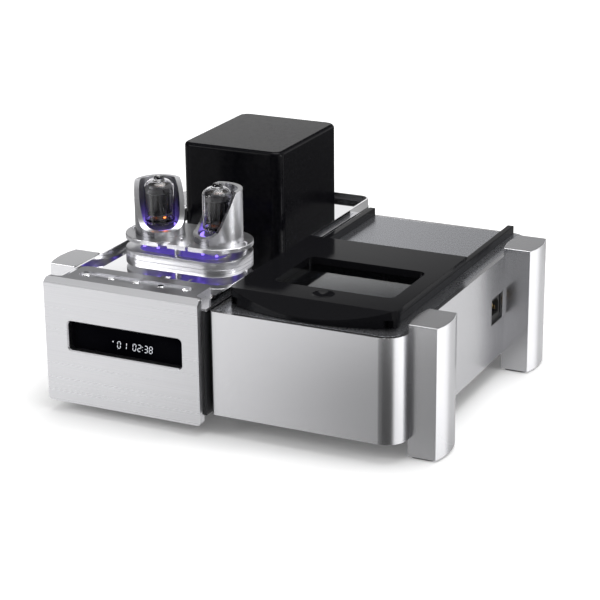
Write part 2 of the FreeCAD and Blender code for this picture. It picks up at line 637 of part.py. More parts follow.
def build_fascia():
    y1 = FASCIA_Y0 + FASCIA_T
    plate = fascia_plate()
    block = rounded(BLOCK_X0, BLOCK_X1, y1 - 1, BLOCK_Y1, TUB_FLOOR, FASCIA_Z1, BLOCK_R,
                    lambda x, y: y > 0)
    webs = [flare(BLOCK_X0, -1, FLARE_LEFT, TUB_FLOOR, FASCIA_Z1),
            flare(BLOCK_X1, 1, FLARE_RIGHT, TUB_FLOOR, FASCIA_Z1)]
    body = plate.fuse([block] + webs).removeSplitter()
    x0, x1, z0, z1 = DISPLAY
    opening = box(x0, x1, FASCIA_Y0 - 1, y1 + 1, z0, z1)
    corners = [e for e in opening.Edges if abs(e.Vertexes[0].Point.y - e.Vertexes[-1].Point.y) > 1]
    body = body.cut(opening.makeFillet(DISPLAY_R, corners))
    b = DISPLAY_BEVEL
    outer = rect_wire(x0 - b, x1 + b, FASCIA_Y0 - 0.01, z0 - b, z1 + b, DISPLAY_R + b)
    lip = Part.makeLoft([outer, rect_wire(x0, x1, FASCIA_Y0 + b, z0, z1, DISPLAY_R)], True)
    body = body.cut(lip)
    keys = key_places()
    recess = slot_solid(keys[0], keys[-1], KEY_Y, SLOT_R, FASCIA_Z1 - SLOT_DEPTH, FASCIA_Z1 + 1)
    pocket = slot_solid(keys[0], keys[-1], KEY_Y, SLOT_R - 0.5, TUB_FLOOR - 1, KEY_SHELF)
    body = body.cut([recess, pocket])
    body = body.cut([cyl(x, KEY_Y, TUB_FLOOR, FASCIA_Z1 + 1, KEY_R + 0.2) for x in keys])
    add("fascia_and_key_block", body)

    for i, x in enumerate(keys):
        cap = cyl(x, KEY_Y, KEY_SHELF - 0.6, FASCIA_Z1 - 0.5, KEY_R)
        cap = cap.makeFillet(0.7, [e for e in top_edges(cap, FASCIA_Z1 - 0.5)][:1])
        collar = cyl(x, KEY_Y, KEY_SHELF - 1.7, KEY_SHELF - 0.05, KEY_R + 1.3)
        stem = cyl(x, KEY_Y, SWITCH_TOP + KEY_STROKE + 0.05, KEY_SHELF - 1.0, 1.6)
        add("transport_key_%d" % (i + 1), cap.fuse([collar, stem]).removeSplitter())

    window = box(x0 - 5, x1 + 5, y1, y1 + 2.8, z0 - 5, z1 + 5)
    add("display_window", window)
    glass = box(x0 + 14, x1 - 14, y1 + 3.0, y1 + 9.0, z0 + 2, z1 - 2)
    board = box(x0 - 2, x1 + 2, y1 + 9.0, y1 + 10.6, z0 - 3.5, z1 + 3.5)
    tip = rod_x(x1 - 14, x1 - 11.5, y1 + 6.0, (z0 + z1) / 2, 1.5)
    feet = [rod_y(ex, y1 + 2.8, y1 + 9.0, ez, 2.0) for ex in (x0 + 2, x1 - 2) for ez in (z0, z1)]
    add("display_module", glass.fuse([board, tip] + feet).removeSplitter())

    board_top = SWITCH_TOP - 4.3
    board = box(keys[0] - 12, keys[-1] + 12, KEY_Y - 6, KEY_Y + 9, board_top - 1.6, board_top)
    parts = []
    for x in keys:
        parts.append(box(x - 3, x + 3, KEY_Y - 3, KEY_Y + 3, board_top, board_top + 3.4))
        parts.append(cyl(x, KEY_Y, board_top + 3.4, SWITCH_TOP, 1.7))
    for x in (keys[0] - 8, keys[-1] + 8):
        parts.append(cyl(x, KEY_Y, board_top, TUB_FLOOR - TUB_FLOOR_T - LEFT_T, 2.5))
    add("key_board", board.fuse(parts).removeSplitter())


def rect_wire(x0, x1, y, z0, z1, r):
    """A rounded rectangle in the plane of the fascia."""
    k = r * (1 - math.sqrt(0.5))
    pts = [V(x0 + r, y, z0), V(x1 - r, y, z0), V(x1 - k, y, z0 + k), V(x1, y, z0 + r),
           V(x1, y, z1 - r), V(x1 - k, y, z1 - k), V(x1 - r, y, z1), V(x0 + r, y, z1),
           V(x0 + k, y, z1 - k), V(x0, y, z1 - r), V(x0, y, z0 + r), V(x0 + k, y, z0 + k)]
    ordered = [Part.makeLine(pts[0], pts[1]), Part.Arc(pts[1], pts[2], pts[3]).toShape(),
               Part.makeLine(pts[3], pts[4]), Part.Arc(pts[4], pts[5], pts[6]).toShape(),
               Part.makeLine(pts[6], pts[7]), Part.Arc(pts[7], pts[8], pts[9]).toShape(),
               Part.makeLine(pts[9], pts[10]), Part.Arc(pts[10], pts[11], pts[0]).toShape()]
    return Part.Wire(ordered)


# left body


def key_places():
    return [KEY_X0 + KEY_PITCH * i for i in range(KEY_COUNT)]


def deck_holes(z0, z1):
    """Holes that pass the keys, the sockets, the cable and the transformers' bolt through the deck."""
    cx, cy = (COVER[0] + COVER[1]) / 2, (COVER[2] + COVER[3]) / 2
    holes = [cyl(x, KEY_Y, z0, z1, 2.4) for x in key_places()]
    holes += [cyl(x, TUBE_Y, z0, z1, SOCKET_R + 3.8) for x in TUBE_X]
    holes.append(slot_solid(cx - 20, cx + 20, COVER[2] + 12, 4.0, z0, z1))
    holes.append(cyl(cx, cy, z0, z1, CORE_BOLT_R + 0.1))
    return holes


def build_left_body():
    top = TUB_FLOOR - TUB_FLOOR_T
    y0 = FASCIA_Y0 + FASCIA_T
    shell = box(LEFT_X0, LEFT_X1, y0, LEFT_Y1, BODY_Z0, top)
    shell = shell.cut(box(LEFT_X0 + LEFT_T, LEFT_X1 - LEFT_T, y0 + LEFT_T, LEFT_Y1 - LEFT_T,
                          BODY_Z0 - 1, top - LEFT_T))
    x0, x1, z0, z1 = DISPLAY
    tools = [box(x0 - 5.3, x1 + 5.3, y0 - 1, y0 + 3, z0 - 5.3, z1 + 5.3)]
    tools += deck_holes(top - 3, top + 1)
    left_ys = [y + PILLAR_D / 2 for y in (PILLAR_Y_FRONT_LEFT, PILLAR_Y_REAR)]
    tools += bolt_holes(LEFT_X0, left_ys, BOLT_R + RUN_GAP)
    tools += bolt_holes(LEFT_X1, JOIN_Y, BOLT_R + RUN_GAP)
    bosses = [Part.makeCylinder(BOSS_R, BODY_X0 - LEFT_X1 + LEFT_T, V(LEFT_X1 - LEFT_T, y, z), V(1, 0, 0))
              for y in JOIN_Y for z in BOLT_Z]
    shell = shell.fuse(bosses).removeSplitter()
    tools += [box(40, 136, LEFT_Y1 - 3, LEFT_Y1 + 1, z, z + 3) for z in range(50, 104, 9)]
    add("left_body_shell", shell.cut(tools))
    floor = box(LEFT_X0 + LEFT_T + SEAM, LEFT_X1 - LEFT_T - SEAM, y0 + LEFT_T + SEAM,
                LEFT_Y1 - LEFT_T - SEAM, BODY_Z0, BODY_Z0 + LEFT_FLOOR_T)
    bx0, bx1, by0, by1 = BOARD_LEFT
    stands = [cyl(x, y, BODY_Z0 + LEFT_FLOOR_T, BODY_Z0 + LEFT_FLOOR_T + BOARD_LIFT, STAND_R)
              for x in (bx0 + STAND_INSET, bx1 - STAND_INSET)
              for y in (by0 + STAND_INSET, by1 - STAND_INSET)]
    vents = [slot_solid(60, 116, 240 + VENT_PITCH * i, VENT_R, BODY_Z0 - 1, BODY_Z0 + LEFT_FLOOR_T + 1)
             for i in range(8)]
    add("left_body_floor", floor.cut(vents).fuse(stands).removeSplitter())

    tub = rounded(TUB_X0, TUB_X1, y0, TUB_Y1, top, TUB_RIM, TUB_R, lambda x, y: y > 300)
    hollow = rounded(TUB_X0 + TUB_WALL, TUB_X1 - TUB_WALL, y0 - 1, TUB_Y1 - TUB_WALL, TUB_FLOOR,
                     TUB_RIM + 1, TUB_R - TUB_WALL, lambda x, y: y > 300)
    tub = tub.cut(hollow)
    tub = tub.cut(box(TUB_X0 - 1, TUB_X1 + 1, y0 - 1, y0 + FLARE_LEFT + 0.5, TUB_FLOOR, TUB_RIM + 1))
    add("mirror_tub", tub.cut(deck_holes(top - 1, TUB_FLOOR + 1)))


def dumbbell(z0, z1):
    """The upper deck plate: two round flanges joined by a straight waist."""
    left, right = TUBE_X
    y0, y1 = TUBE_Y - FLANGE_R, TUBE_Y + FLANGE_R
    plate = box(left, right, y0, y1, z0, z1)
    plate = plate.fuse([cyl(left, TUBE_Y, z0, z1, FLANGE_R), cyl(right, TUBE_Y, z0, z1, FLANGE_R)])
    plate = plate.removeSplitter()
    plate = plate.makeFillet(0.8, top_edges(plate, z1))
    return plate.cut([box(x0, x1, y0 - 1, y0 + deep, z0 - 1, z1 + 1) for x0, x1, deep in PLATE_SLOTS])


def guard(x, turn):
    """A polished guard whose mouth sweeps from a low lip up to the open top."""
    z0 = FLANGE_Z0 + FLANGE_T
    wall = cyl(0, 0, 0, GUARD_H, GUARD_R).cut(cyl(0, 0, -1, GUARD_H + 1, GUARD_R - GUARD_T))
    reach = GUARD_R + 3
    lip, rise = V(0, -reach, GUARD_LIP), V(0, GUARD_RISE, GUARD_H + 0.2)
    curve = Part.BSplineCurve()
    curve.interpolate([lip] + [V(0, y, z) for y, z in GUARD_SWEEP] + [rise])
    top, front = V(0, rise.y, GUARD_H + 9), V(0, -reach, GUARD_H + 9)
    outline = Part.Wire([curve.toShape(), Part.makeLine(rise, top), Part.makeLine(top, front),
                         Part.makeLine(front, lip)])
    mouth = Part.Face(outline).extrude(V(80, 0, 0))
    mouth.translate(V(-40, 0, 0))
    shell = wall.cut(mouth)
    shell.rotate(V(0, 0, 0), Z_AXIS, turn)
    shell.translate(V(x, TUBE_Y, z0))
    return shell


def turned(x, edges):
    """A solid turned from edges in the plane y = 0, set on a tube's axis."""
    solid = Part.Face(Part.Wire(edges)).revolve(V(0, 0, 0), Z_AXIS, 360)
    solid.translate(V(x, TUBE_Y, 0))
    return solid


def lines(points):
    return [Part.makeLine(V(*a), V(*b)) for a, b in zip(points, points[1:])]


def bulb(x):
    """A glass bulb, open at its base, with a drawn tip on its dome."""
    r, z0, shoulder, top = BULB_R, BULB_Z0, BULB_SHOULDER, BULB_TOP
    neck = (TIP_R + 1.0, 0, shoulder + 7.2)
    outer = lines([(0, 0, z0), (r * 0.86, 0, z0), (r, 0, z0 + 3.0), (r, 0, shoulder)])
    outer.append(Part.Arc(V(r, 0, shoulder), V(r * 0.80, 0, shoulder + 4.6), V(*neck)).toShape())
    outer += lines([neck, (TIP_R, 0, shoulder + 8.4)])
    end = V(1.0, 0, top)
    outer.append(Part.Arc(V(TIP_R, 0, shoulder + 8.4), V(TIP_R * 0.78, 0, top - 1.0), end).toShape())
    outer += lines([(1.0, 0, top), (0, 0, top), (0, 0, z0)])
    inner_r = r - BULB_T
    inner = lines([(0, 0, z0 - 1), (BULB_MOUTH_R, 0, z0 - 1), (BULB_MOUTH_R, 0, z0 + 3.2),
                   (inner_r, 0, z0 + 5.2), (inner_r, 0, shoulder)])
    inner.append(Part.Arc(V(inner_r, 0, shoulder), V(inner_r * 0.78, 0, shoulder + 3.6),
                          V(TIP_R, 0, shoulder + 5.4)).toShape())
    inner += lines([(TIP_R, 0, shoulder + 5.4), (0, 0, shoulder + 5.4), (0, 0, z0 - 1)])
    return turned(x, outer).cut(turned(x, inner))


def electrodes(x):
    """Plates, mica discs, supports and getter of one double triode."""
    y = TUBE_Y
    z0, z1 = BULB_Z0, BULB_SHOULDER
    parts = [cyl(x, y, z1 - 7.0, z1 - 6.0, 12.8), cyl(x, y, z0 + 9.0, z0 + 10.0, 12.8)]
    for dx in (-5.6, 5.6):
        plate = box(x + dx - 4.2, x + dx + 4.2, y - 3.0, y + 3.0, z0 + 10.0, z1 - 7.0)
        fins = box(x + dx - 0.4, x + dx + 0.4, y - 7.4, y + 7.4, z0 + 10.0, z1 - 7.0)
        cathode = cyl(x + dx, y, z0 + 5.0, z0 + 10.5, 1.1)
        parts += [plate, fins, cathode]
    for dx, dy in ((-11, 0), (11, 0), (0, -10), (0, 10)):
        parts.append(cyl(x + dx, y + dy, z0, z1 - 5.0, 0.6))
    parts.append(cyl(x, y, z0, z0 + 5.2, 7.8))
    ring = Part.makeTorus(5.2, 0.7, V(x, y, z1 + 1.2))
    stalk = cyl(x + 5.2, y, z1 - 6.5, z1 + 1.2, 0.5)
    return parts[0].fuse(parts[1:] + [ring, stalk])


def build_deck():
    x0, x1, y0, y1 = DECK
    top = TUB_FLOOR + DECK_T
    base = rounded(x0, x1, y0, y1, TUB_FLOOR, top, DECK_R)
    base = base.makeFillet(0.8, top_edges(base, top))
    base = base.cut([cyl(x, TUBE_Y, TUB_FLOOR - 1, top + 1, DECK_BORE_R) for x in TUBE_X])
    ring_z = top - 2.0
    tray = rounded(x0 + TRAY_X, x1 - TRAY_X, y0 + TRAY_Y, y1 - TRAY_Y, ring_z, top + 1, DECK_R - 5)
    base = base.cut(tray)
    add("tube_deck_base", base)
    side, end = TRAY_X + 0.2, TRAY_Y + 0.2
    light = rounded(x0 + side, x1 - side, y0 + end, y1 - end, ring_z, top - 0.4, DECK_R - 5.2)
    light = light.cut([cyl(x, TUBE_Y, TUB_FLOOR - 1, top + 1, DECK_BORE_R) for x in TUBE_X])
    light = light.cut([cyl(px, py, TUB_FLOOR, top + 1, POST_R + 0.2) for px, py in POSTS])
    lights = []
    for x in TUBE_X:
        for i in range(8):
            angle = math.radians(22.5 + 45 * i)
            px = x + LIGHT_RING_R * math.cos(angle)
            py = TUBE_Y + LIGHT_RING_R * math.sin(angle)
            if x0 + TRAY_X + 3 < px < x1 - TRAY_X - 3:
                lights.append((px, py))
    dots = [cyl(px, py, top - 0.4, top + 1.4, 1.5) for px, py in lights]
    add("light_board", light.fuse(dots).removeSplitter())
    posts = []
    for px, py in POSTS:
        in_tray = x0 + TRAY_X < px < x1 - TRAY_X
        posts.append(cyl(px, py, ring_z if in_tray else top, FLANGE_Z0, POST_R))
    add("deck_posts", Part.makeCompound(posts))

    plate = dumbbell(FLANGE_Z0, FLANGE_Z0 + FLANGE_T)
    under, over = FLANGE_Z0 - 1, FLANGE_Z0 + FLANGE_T + 1
    plate = plate.cut([cyl(x, TUBE_Y, under, over, SOCKET_R + 0.2) for x in TUBE_X])
    screws = []
    middle = (TUBE_X[0] + TUBE_X[1]) / 2
    for px, py in ((TUBE_X[0] - PLATE_SCREW_R, TUBE_Y), (middle, TUBE_Y - 17), (middle, TUBE_Y + 17),
                   (TUBE_X[1] + PLATE_SCREW_R, TUBE_Y)):
        plate = plate.cut(cyl(px, py, under, over, 1.7))
        screws.append(screw(px, py, FLANGE_Z0 + FLANGE_T, 6.0, 2.4, 1.5))
    add("tube_plate", plate)
    add("plate_screws", Part.makeCompound(screws))

    z = FLANGE_Z0 + FLANGE_T
    for side, x, turn in (("left", TUBE_X[0], GUARD_TURN), ("right", TUBE_X[1], -GUARD_TURN)):
        add("tube_guard_" + side, guard(x, turn))
        socket = cyl(x, TUBE_Y, TUB_FLOOR - 6, z, SOCKET_R)
        rim = cyl(x, TUBE_Y, z, z + 5.0, SOCKET_RIM_R).cut(cyl(x, TUBE_Y, z - 1, z + 6, 14.6))
        socket = socket.fuse([rim, cyl(x, TUBE_Y, z, z + 1.2, SOCKET_RIM_R)])
        pins = []
        for i in range(8):
            angle = math.radians(22.5 + 45 * i)
            pins.append((x + PIN_RING_R * math.cos(angle), TUBE_Y + PIN_RING_R * math.sin(angle)))
        holes = [cyl(px, py, z - 12, z + 2, 1.5) for px, py in pins]
        holes.append(cyl(x, TUBE_Y, z - 12, z + 2, 4.2))
        add("tube_socket_" + side, socket.cut(holes).removeSplitter())

        floor = z + 1.2
        base = cyl(x, TUBE_Y, floor, BULB_Z0, 14.2)
        base = base.fuse(cyl(x, TUBE_Y, z - 9, floor, 3.9))
        base = base.fuse([cyl(px, py, z - 8, floor, 1.15) for px, py in pins])
        add("tube_core_" + side, base.fuse(electrodes(x)).removeSplitter())
        add("tube_bulb_" + side, bulb(x))


# transformers and boards


def build_cover():
    x0, x1, y0, y1 = COVER
    outer = rounded(x0, x1, y0, y1, TUB_FLOOR, COVER_TOP, COVER_R)
    outer = outer.makeFillet(4.5, top_edges(outer, COVER_TOP))
    inner = rounded(x0 + COVER_T, x1 - COVER_T, y0 + COVER_T, y1 - COVER_T, TUB_FLOOR - 1,
                    COVER_TOP - COVER_T, COVER_R - COVER_T)
    add("transformer_cover", outer.cut(inner))
    cx, cy = (x0 + x1) / 2, (y0 + y1) / 2
    big_r, hole_r, height = TOROID_R, TOROID_HOLE_R, TOROID_H
    floor = TUB_FLOOR
    rings = []
    for level in range(2):
        z = floor + level * height
        ring = cyl(cx, cy, z, z + height, big_r).cut(cyl(cx, cy, z - 1, z + height + 1, hole_r))
        rims = [e for e in ring.Edges if abs(e.Length - 2 * math.pi * big_r) < 0.1]
        rings.append(ring.makeFillet(6.0, rims))
    add("transformer_lower", rings[0])
    add("transformer_upper", rings[1])
    top = floor + 2 * height
    under = TUB_FLOOR - TUB_FLOOR_T - LEFT_T
    bolt = cyl(cx, cy, under - 6.0, top + 9.0, CORE_BOLT_R)
    lower_nut = prism(nut_points(cx, cy), under - 5.0, under)
    washer = cyl(cx, cy, top, top + 2.0, big_r - 12)
    upper_nut = prism(nut_points(cx, cy), top + 2.0, top + 7.0)
    add("transformer_bolt", bolt.fuse([washer, lower_nut, upper_nut]).removeSplitter())


def nut_points(x, y):
    return [(x + 7.5 * math.cos(math.radians(60 * i)), y + 7.5 * math.sin(math.radians(60 * i)))
            for i in range(6)]


def build_boards():
    x0, x1, y0, y1 = BOARD_RIGHT
    top = BODY_Z0 + FLOOR_T + BOARD_LIFT + BOARD_T
    board = box(x0, x1, y0, y1, top - BOARD_T, top)
    parts = []
    for across, along, w, d, h in CHIPS:
        cx, cy = x0 + across * (x1 - x0), y0 + along * (y1 - y0)
        parts.append(box(cx - w / 2, cx + w / 2, cy - d / 2, cy + d / 2, top, top + h))
    add("decoder_board", board.fuse(parts).removeSplitter())
    x0, x1, y0, y1 = BOARD_LEFT
    top = BODY_Z0 + LEFT_FLOOR_T + BOARD_LIFT + BOARD_T
    board = box(x0, x1, y0, y1, top - BOARD_T, top)
    columns = [x0 + (x1 - x0) * (i + 0.75) / 4.5 for i in range(4)]
    back = y1 - 30
    regulators = [box(cx - REG_W / 2, cx + REG_W / 2, back, back + REG_T, top, top + REG_H)
                  for cx in columns]
    add("power_board", board.fuse(regulators).removeSplitter())
    cans = []
    for x in columns:
        for y in (y0 + 3.5 * CAN_R, y0 + 8.0 * CAN_R):
            can = cyl(x, y, top, top + CAN_H, CAN_R)
            cans.append(can.makeFillet(1.2, top_edges(can, top + CAN_H)[:1]))
    add("power_capacitors", Part.makeCompound(cans))


def main():
    os.makedirs("parts", exist_ok=True)
    build_pillars()
    build_right_body()
    build_inlet()
    build_lid()
    build_transport()
    build_fascia()
    build_left_body()
    build_deck()
    build_cover()
    build_boards()
    centre_x = (PILLAR_X_LEFT + PILLAR_X_RIGHT + PILLAR_W) / 2
    centre_y = (FASCIA_Y0 + TUB_Y1) / 2
    for name, shape in SHAPES.items():
        moved = shape.copy()
        moved.translate(V(-centre_x, -centre_y, 0))
        moved.exportStep("parts/%s.step" % name)
        bb = moved.BoundBox
        print("%-24s solids %d valid %s vol %9.1f  x %.1f %.1f y %.1f %.1f z %.1f %.1f" % (
            name, len(moved.Solids), moved.isValid(), moved.Volume, bb.XMin, bb.XMax, bb.YMin,
            bb.YMax, bb.ZMin, bb.ZMax))


main()
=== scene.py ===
# %% [markdown]
# # A tube CD player, dressed for its portrait
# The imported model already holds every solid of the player, in metres and in its true place: a display tower
# with a mirrored tub on the left, a rounded body with a sliding lid on the right, and four pillar legs.
# This lesson gives those solids their finishes, adds the small things that are looked at rather than
# measured, and sets up a plain studio with the camera where the photographer stood.

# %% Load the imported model
import json
import math

import bmesh
import bpy
from mathutils import Matrix, Vector


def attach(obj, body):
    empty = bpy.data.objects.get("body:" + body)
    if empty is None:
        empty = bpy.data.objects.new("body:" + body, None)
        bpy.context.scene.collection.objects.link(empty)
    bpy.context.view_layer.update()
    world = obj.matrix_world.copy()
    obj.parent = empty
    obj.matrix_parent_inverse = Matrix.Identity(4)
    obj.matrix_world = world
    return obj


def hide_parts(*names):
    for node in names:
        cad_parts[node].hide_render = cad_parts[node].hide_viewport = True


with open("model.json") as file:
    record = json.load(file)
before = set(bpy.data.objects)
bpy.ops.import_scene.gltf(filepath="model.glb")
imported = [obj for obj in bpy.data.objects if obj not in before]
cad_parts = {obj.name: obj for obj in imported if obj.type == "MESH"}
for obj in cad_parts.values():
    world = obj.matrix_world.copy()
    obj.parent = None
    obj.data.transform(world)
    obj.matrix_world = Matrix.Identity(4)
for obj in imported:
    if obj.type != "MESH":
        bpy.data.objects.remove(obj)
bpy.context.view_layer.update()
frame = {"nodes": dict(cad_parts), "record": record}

# %% [markdown]
# ## A workshop drawing to place things by
# The player was drawn in millimetres: x from the left body's side, y back from the right body's front, z up
# from the table. The frame works in metres from the middle of the footprint. One small function turns the
# first into the second, so every place below can be read off a drawing.

# %% From the drawing to the frame
MM = 0.001
FOOTPRINT_CENTRE = Vector((187.8, 184.8, 0.0))


def drawing(x, y, z):
    """A point of the workshop drawing, in metres from the middle of the footprint."""
    return (Vector((x, y, z)) - FOOTPRINT_CENTRE) * MM


print("the drawing's corner lies at", [round(v, 4) for v in drawing(0.0, 0.0, 0.0)])

# %% [markdown]
# ## The camera
# A product photograph of this kind is taken with a long lens from well back, so parallel edges hardly
# converge. The lens, the place and the three turns were recovered from straight edges of the object.
# Blender wants a matrix whose columns are the camera's right, its up and the direction behind it, so the
# turns are written as directions first. That is easier to check than three Euler angles.

# %% Place the camera
YAW, PITCH, ROLL = (math.radians(v) for v in (-26.09, -19.46, -0.58))
LENS_MM, SENSOR_MM, FAR_CLIP_M = 121.33, 36.0, 40.0

ahead = Vector((math.sin(YAW) * math.cos(PITCH), math.cos(YAW) * math.cos(PITCH), math.sin(PITCH)))
level = Vector((math.cos(YAW), -math.sin(YAW), 0.0))
above = level.cross(ahead)
right = level * math.cos(ROLL) + above * math.sin(ROLL)
up = above * math.cos(ROLL) - level * math.sin(ROLL)
stand = Matrix((right, up, -ahead)).transposed().to_4x4()
stand.translation = drawing(1054.96, -1591.54, 778.57)
lens = bpy.data.cameras.new("portrait_lens")
lens.lens = LENS_MM
lens.sensor_width = SENSOR_MM
lens.clip_end = FAR_CLIP_M
camera = bpy.data.objects.new("portrait_camera", lens)
camera.matrix_world = stand
bpy.context.scene.collection.objects.link(camera)
bpy.context.scene.camera = camera
bpy.context.scene.view_settings.view_transform = "Standard"
print("camera", [round(v, 3) for v in camera.location], "lens", lens.lens)

# %% [markdown]
# ## Wiring nodes
# Finishes and lights are both built from shader nodes. Three helpers keep that short: one feeds a socket
# with a link or a plain number, one does arithmetic, and one spreads a value between two levels.

# %% Node helpers
def feed(tree, socket, value):
    """Link a value's socket to another one, or set the number."""
    if isinstance(value, (int, float)):
        socket.default_value = value
    else:
        tree.links.new(value, socket)


def reckon(tree, operation, *values):
    """One Math node over sockets or numbers."""
    node = tree.nodes.new("ShaderNodeMath")
    node.operation = operation
    for socket, value in zip(node.inputs, values):
        feed(tree, socket, value)
    return node.outputs["Value"]


def between(tree, share, low, high, start=0.0, end=1.0, soft=False):
    """From low to high as share goes from start to end; each is a socket or a number."""
    node = tree.nodes.new("ShaderNodeMapRange")
    if soft:
        node.interpolation_type = "SMOOTHSTEP"
    for name, value in (("Value", share), ("From Min", start), ("From Max", end), ("To Min", low),
                        ("To Max", high)):
        feed(tree, node.inputs[name], value)
    return node.outputs["Result"]


print("node helpers:", feed.__name__, reckon.__name__, between.__name__)

# %% [markdown]
# ## What a finish is made of
# A real surface is never one number: brushing runs one way, blasting leaves a grain, enamel has a faint
# orange peel. Each finish starts as one shader with its plain values on its own sockets. Noise on Object
# coordinates then drives only what truly varies over the surface: the roughness, the tone and, on some, the
# height.

# %% Finish helpers
NOISE_LOW, NOISE_HIGH = 0.3, 0.7


def new_finish(name, colour, **values):
    """A material with one shader; values name its sockets, with underscores for spaces."""
    finish = bpy.data.materials.new(name)
    finish.use_nodes = True
    shader = finish.node_tree.nodes["Principled BSDF"]
    shader.inputs["Base Color"].default_value = (*colour, 1.0)
    for socket, value in values.items():
        shader.inputs[socket.replace("_", " ")].default_value = value
    return finish


def grain(tree, stretch, detail, roughness):
    """Noise whose grains per metre along X, Y and Z are given by stretch."""
    place = tree.nodes.new("ShaderNodeTexCoord")
    pull = tree.nodes.new("ShaderNodeMapping")
    pull.inputs["Scale"].default_value = stretch
    noise = tree.nodes.new("ShaderNodeTexNoise")
    noise.inputs["Scale"].default_value = 1.0
    noise.inputs["Detail"].default_value = detail
    noise.inputs["Roughness"].default_value = roughness
    tree.links.new(place.outputs["Object"], pull.inputs["Vector"])
    tree.links.new(pull.outputs["Vector"], noise.inputs["Vector"])
    return noise.outputs["Fac"]


def tint(tree, height, dark, light):
    """The noise moves the colour between two tones."""
    ramp = tree.nodes.new("ShaderNodeValToRGB")
    for stop, place, colour in zip(ramp.color_ramp.elements, (NOISE_LOW, NOISE_HIGH), (dark, light)):
        stop.position = place
        stop.color = (*colour, 1.0)
    tree.links.new(height, ramp.inputs["Fac"])
    tree.links.new(ramp.outputs["Color"], tree.nodes["Principled BSDF"].inputs["Base Color"])


def relief(tree, height, strength, depth):
    """The noise raises the surface by depth metres."""
    bump = tree.nodes.new("ShaderNodeBump")
    bump.inputs["Strength"].default_value = strength
    bump.inputs["Distance"].default_value = depth
    tree.links.new(height, bump.inputs["Height"])
    tree.links.new(bump.outputs["Normal"], tree.nodes["Principled BSDF"].inputs["Normal"])


print("noise is spread from", NOISE_LOW, "to", NOISE_HIGH)

# %% [markdown]
# ## One recipe for every finish
# Each finish below is written as one call: its two tones, how far its grain is stretched, between which
# roughnesses it moves, and how deep it is. Copying the same nodes by hand for each would hide what differs.

# %% The recipe
def textured(name, tones, stretch, rough, depth=None, detail=2.0, crispness=0.5, **values):
    """A finish whose grain moves its roughness, its tone and, where depth is given, its height."""
    finish = new_finish(name, tones[-1], **values)
    tree = finish.node_tree
    height = grain(tree, stretch if isinstance(stretch, tuple) else (stretch,) * 3, detail, crispness)
    spread = between(tree, height, *rough, NOISE_LOW, NOISE_HIGH)
    tree.links.new(spread, tree.nodes["Principled BSDF"].inputs["Roughness"])
    if len(tones) == 2:
        tint(tree, height, *tones)
    if depth:
        relief(tree, height, *depth)
    return finish


def cool(level):
    """A grey with a breath of blue, as bare aluminium has."""
    return (level, level, level + 0.02)


print("a mid grey of aluminium:", cool(0.70))

# %% [markdown]
# ## The brushed front
# The thick front plate is brushed along its length, so its noise is pulled out along X until the grains are
# hairlines. The key block's top has the same hairlines but is rougher, and its colour is painted darker as
# shade, because it mirrors less of the bright room.

# %% Brushed aluminium
HAIRLINES = (2.0, 800.0, 800.0)
brushed = textured("brushed_aluminium", (cool(0.68), cool(0.73)), HAIRLINES, (0.27, 0.30), detail=3.0,
                   crispness=0.6, Metallic=1.0)
block_top_painted_shade = textured("brushed_block_top_painted_shade", (cool(0.35), cool(0.40)), HAIRLINES, (0.33, 0.37), detail=3.0,
                crispness=0.6, Metallic=1.0)
print("hairlines per metre:", HAIRLINES)

# %% [markdown]
# ## Blasted band and pillars
# The band and the pillars are bead blasted: even, tiny grains with a little height. The plate on top of the
# right body is plain rolled sheet, which is about as smooth and a little bluer.

# %% Satin aluminium and rolled sheet
satin = textured("satin_aluminium", (cool(0.71), cool(0.77)), 1500.0, (0.20, 0.26), depth=(0.06, 0.00004),
                 Metallic=1.0)
sheet = textured("rolled_sheet", ((0.61, 0.62, 0.66), (0.64, 0.65, 0.69)), 1500.0, (0.25, 0.29), Metallic=1.0)
print("satin and sheet share their grain")

# %% [markdown]
# ## Turned and mirrored parts
# The guards are turned, so their fine rings run round them: noise with many grains along Z and few along X
# and Y gives that. Their sides away from the light get a darker copy of the same metal: painted shade. The
# tub under the tubes and the key caps are true mirrors, where only a long, faint waviness remains.

# %% Polished, burnished and mirror finishes
RINGS = (90.0, 90.0, 2600.0)
polished = textured("polished_aluminium", (cool(0.70), cool(0.77)), RINGS, (0.29, 0.33), Metallic=1.0)
guard_side_painted_shade = textured("aluminium_painted_shade", (cool(0.27), cool(0.33)), RINGS, (0.26, 0.30), Metallic=1.0)
mirror = textured("mirror_steel", ((0.88, 0.88, 0.90), (0.92, 0.92, 0.93)), 7.0, (0.02, 0.05),
                  depth=(0.05, 0.0004), detail=1.0, Metallic=1.0)
print("rings per metre of height:", RINGS[2])

# %% [markdown]
# ## Small metal parts
# Screws, rods and shafts are bright steel. Contacts are gold plated, because bare metal would tarnish.

# %% Steel and gold
steel = textured("bright_steel", (cool(0.56), cool(0.68)), 800.0, (0.22, 0.34), Metallic=1.0)
gold = textured("gold_plating", ((0.78, 0.55, 0.22), (0.88, 0.66, 0.30)), 600.0, (0.16, 0.26), Metallic=1.0)
print("metals:", len(bpy.data.materials))
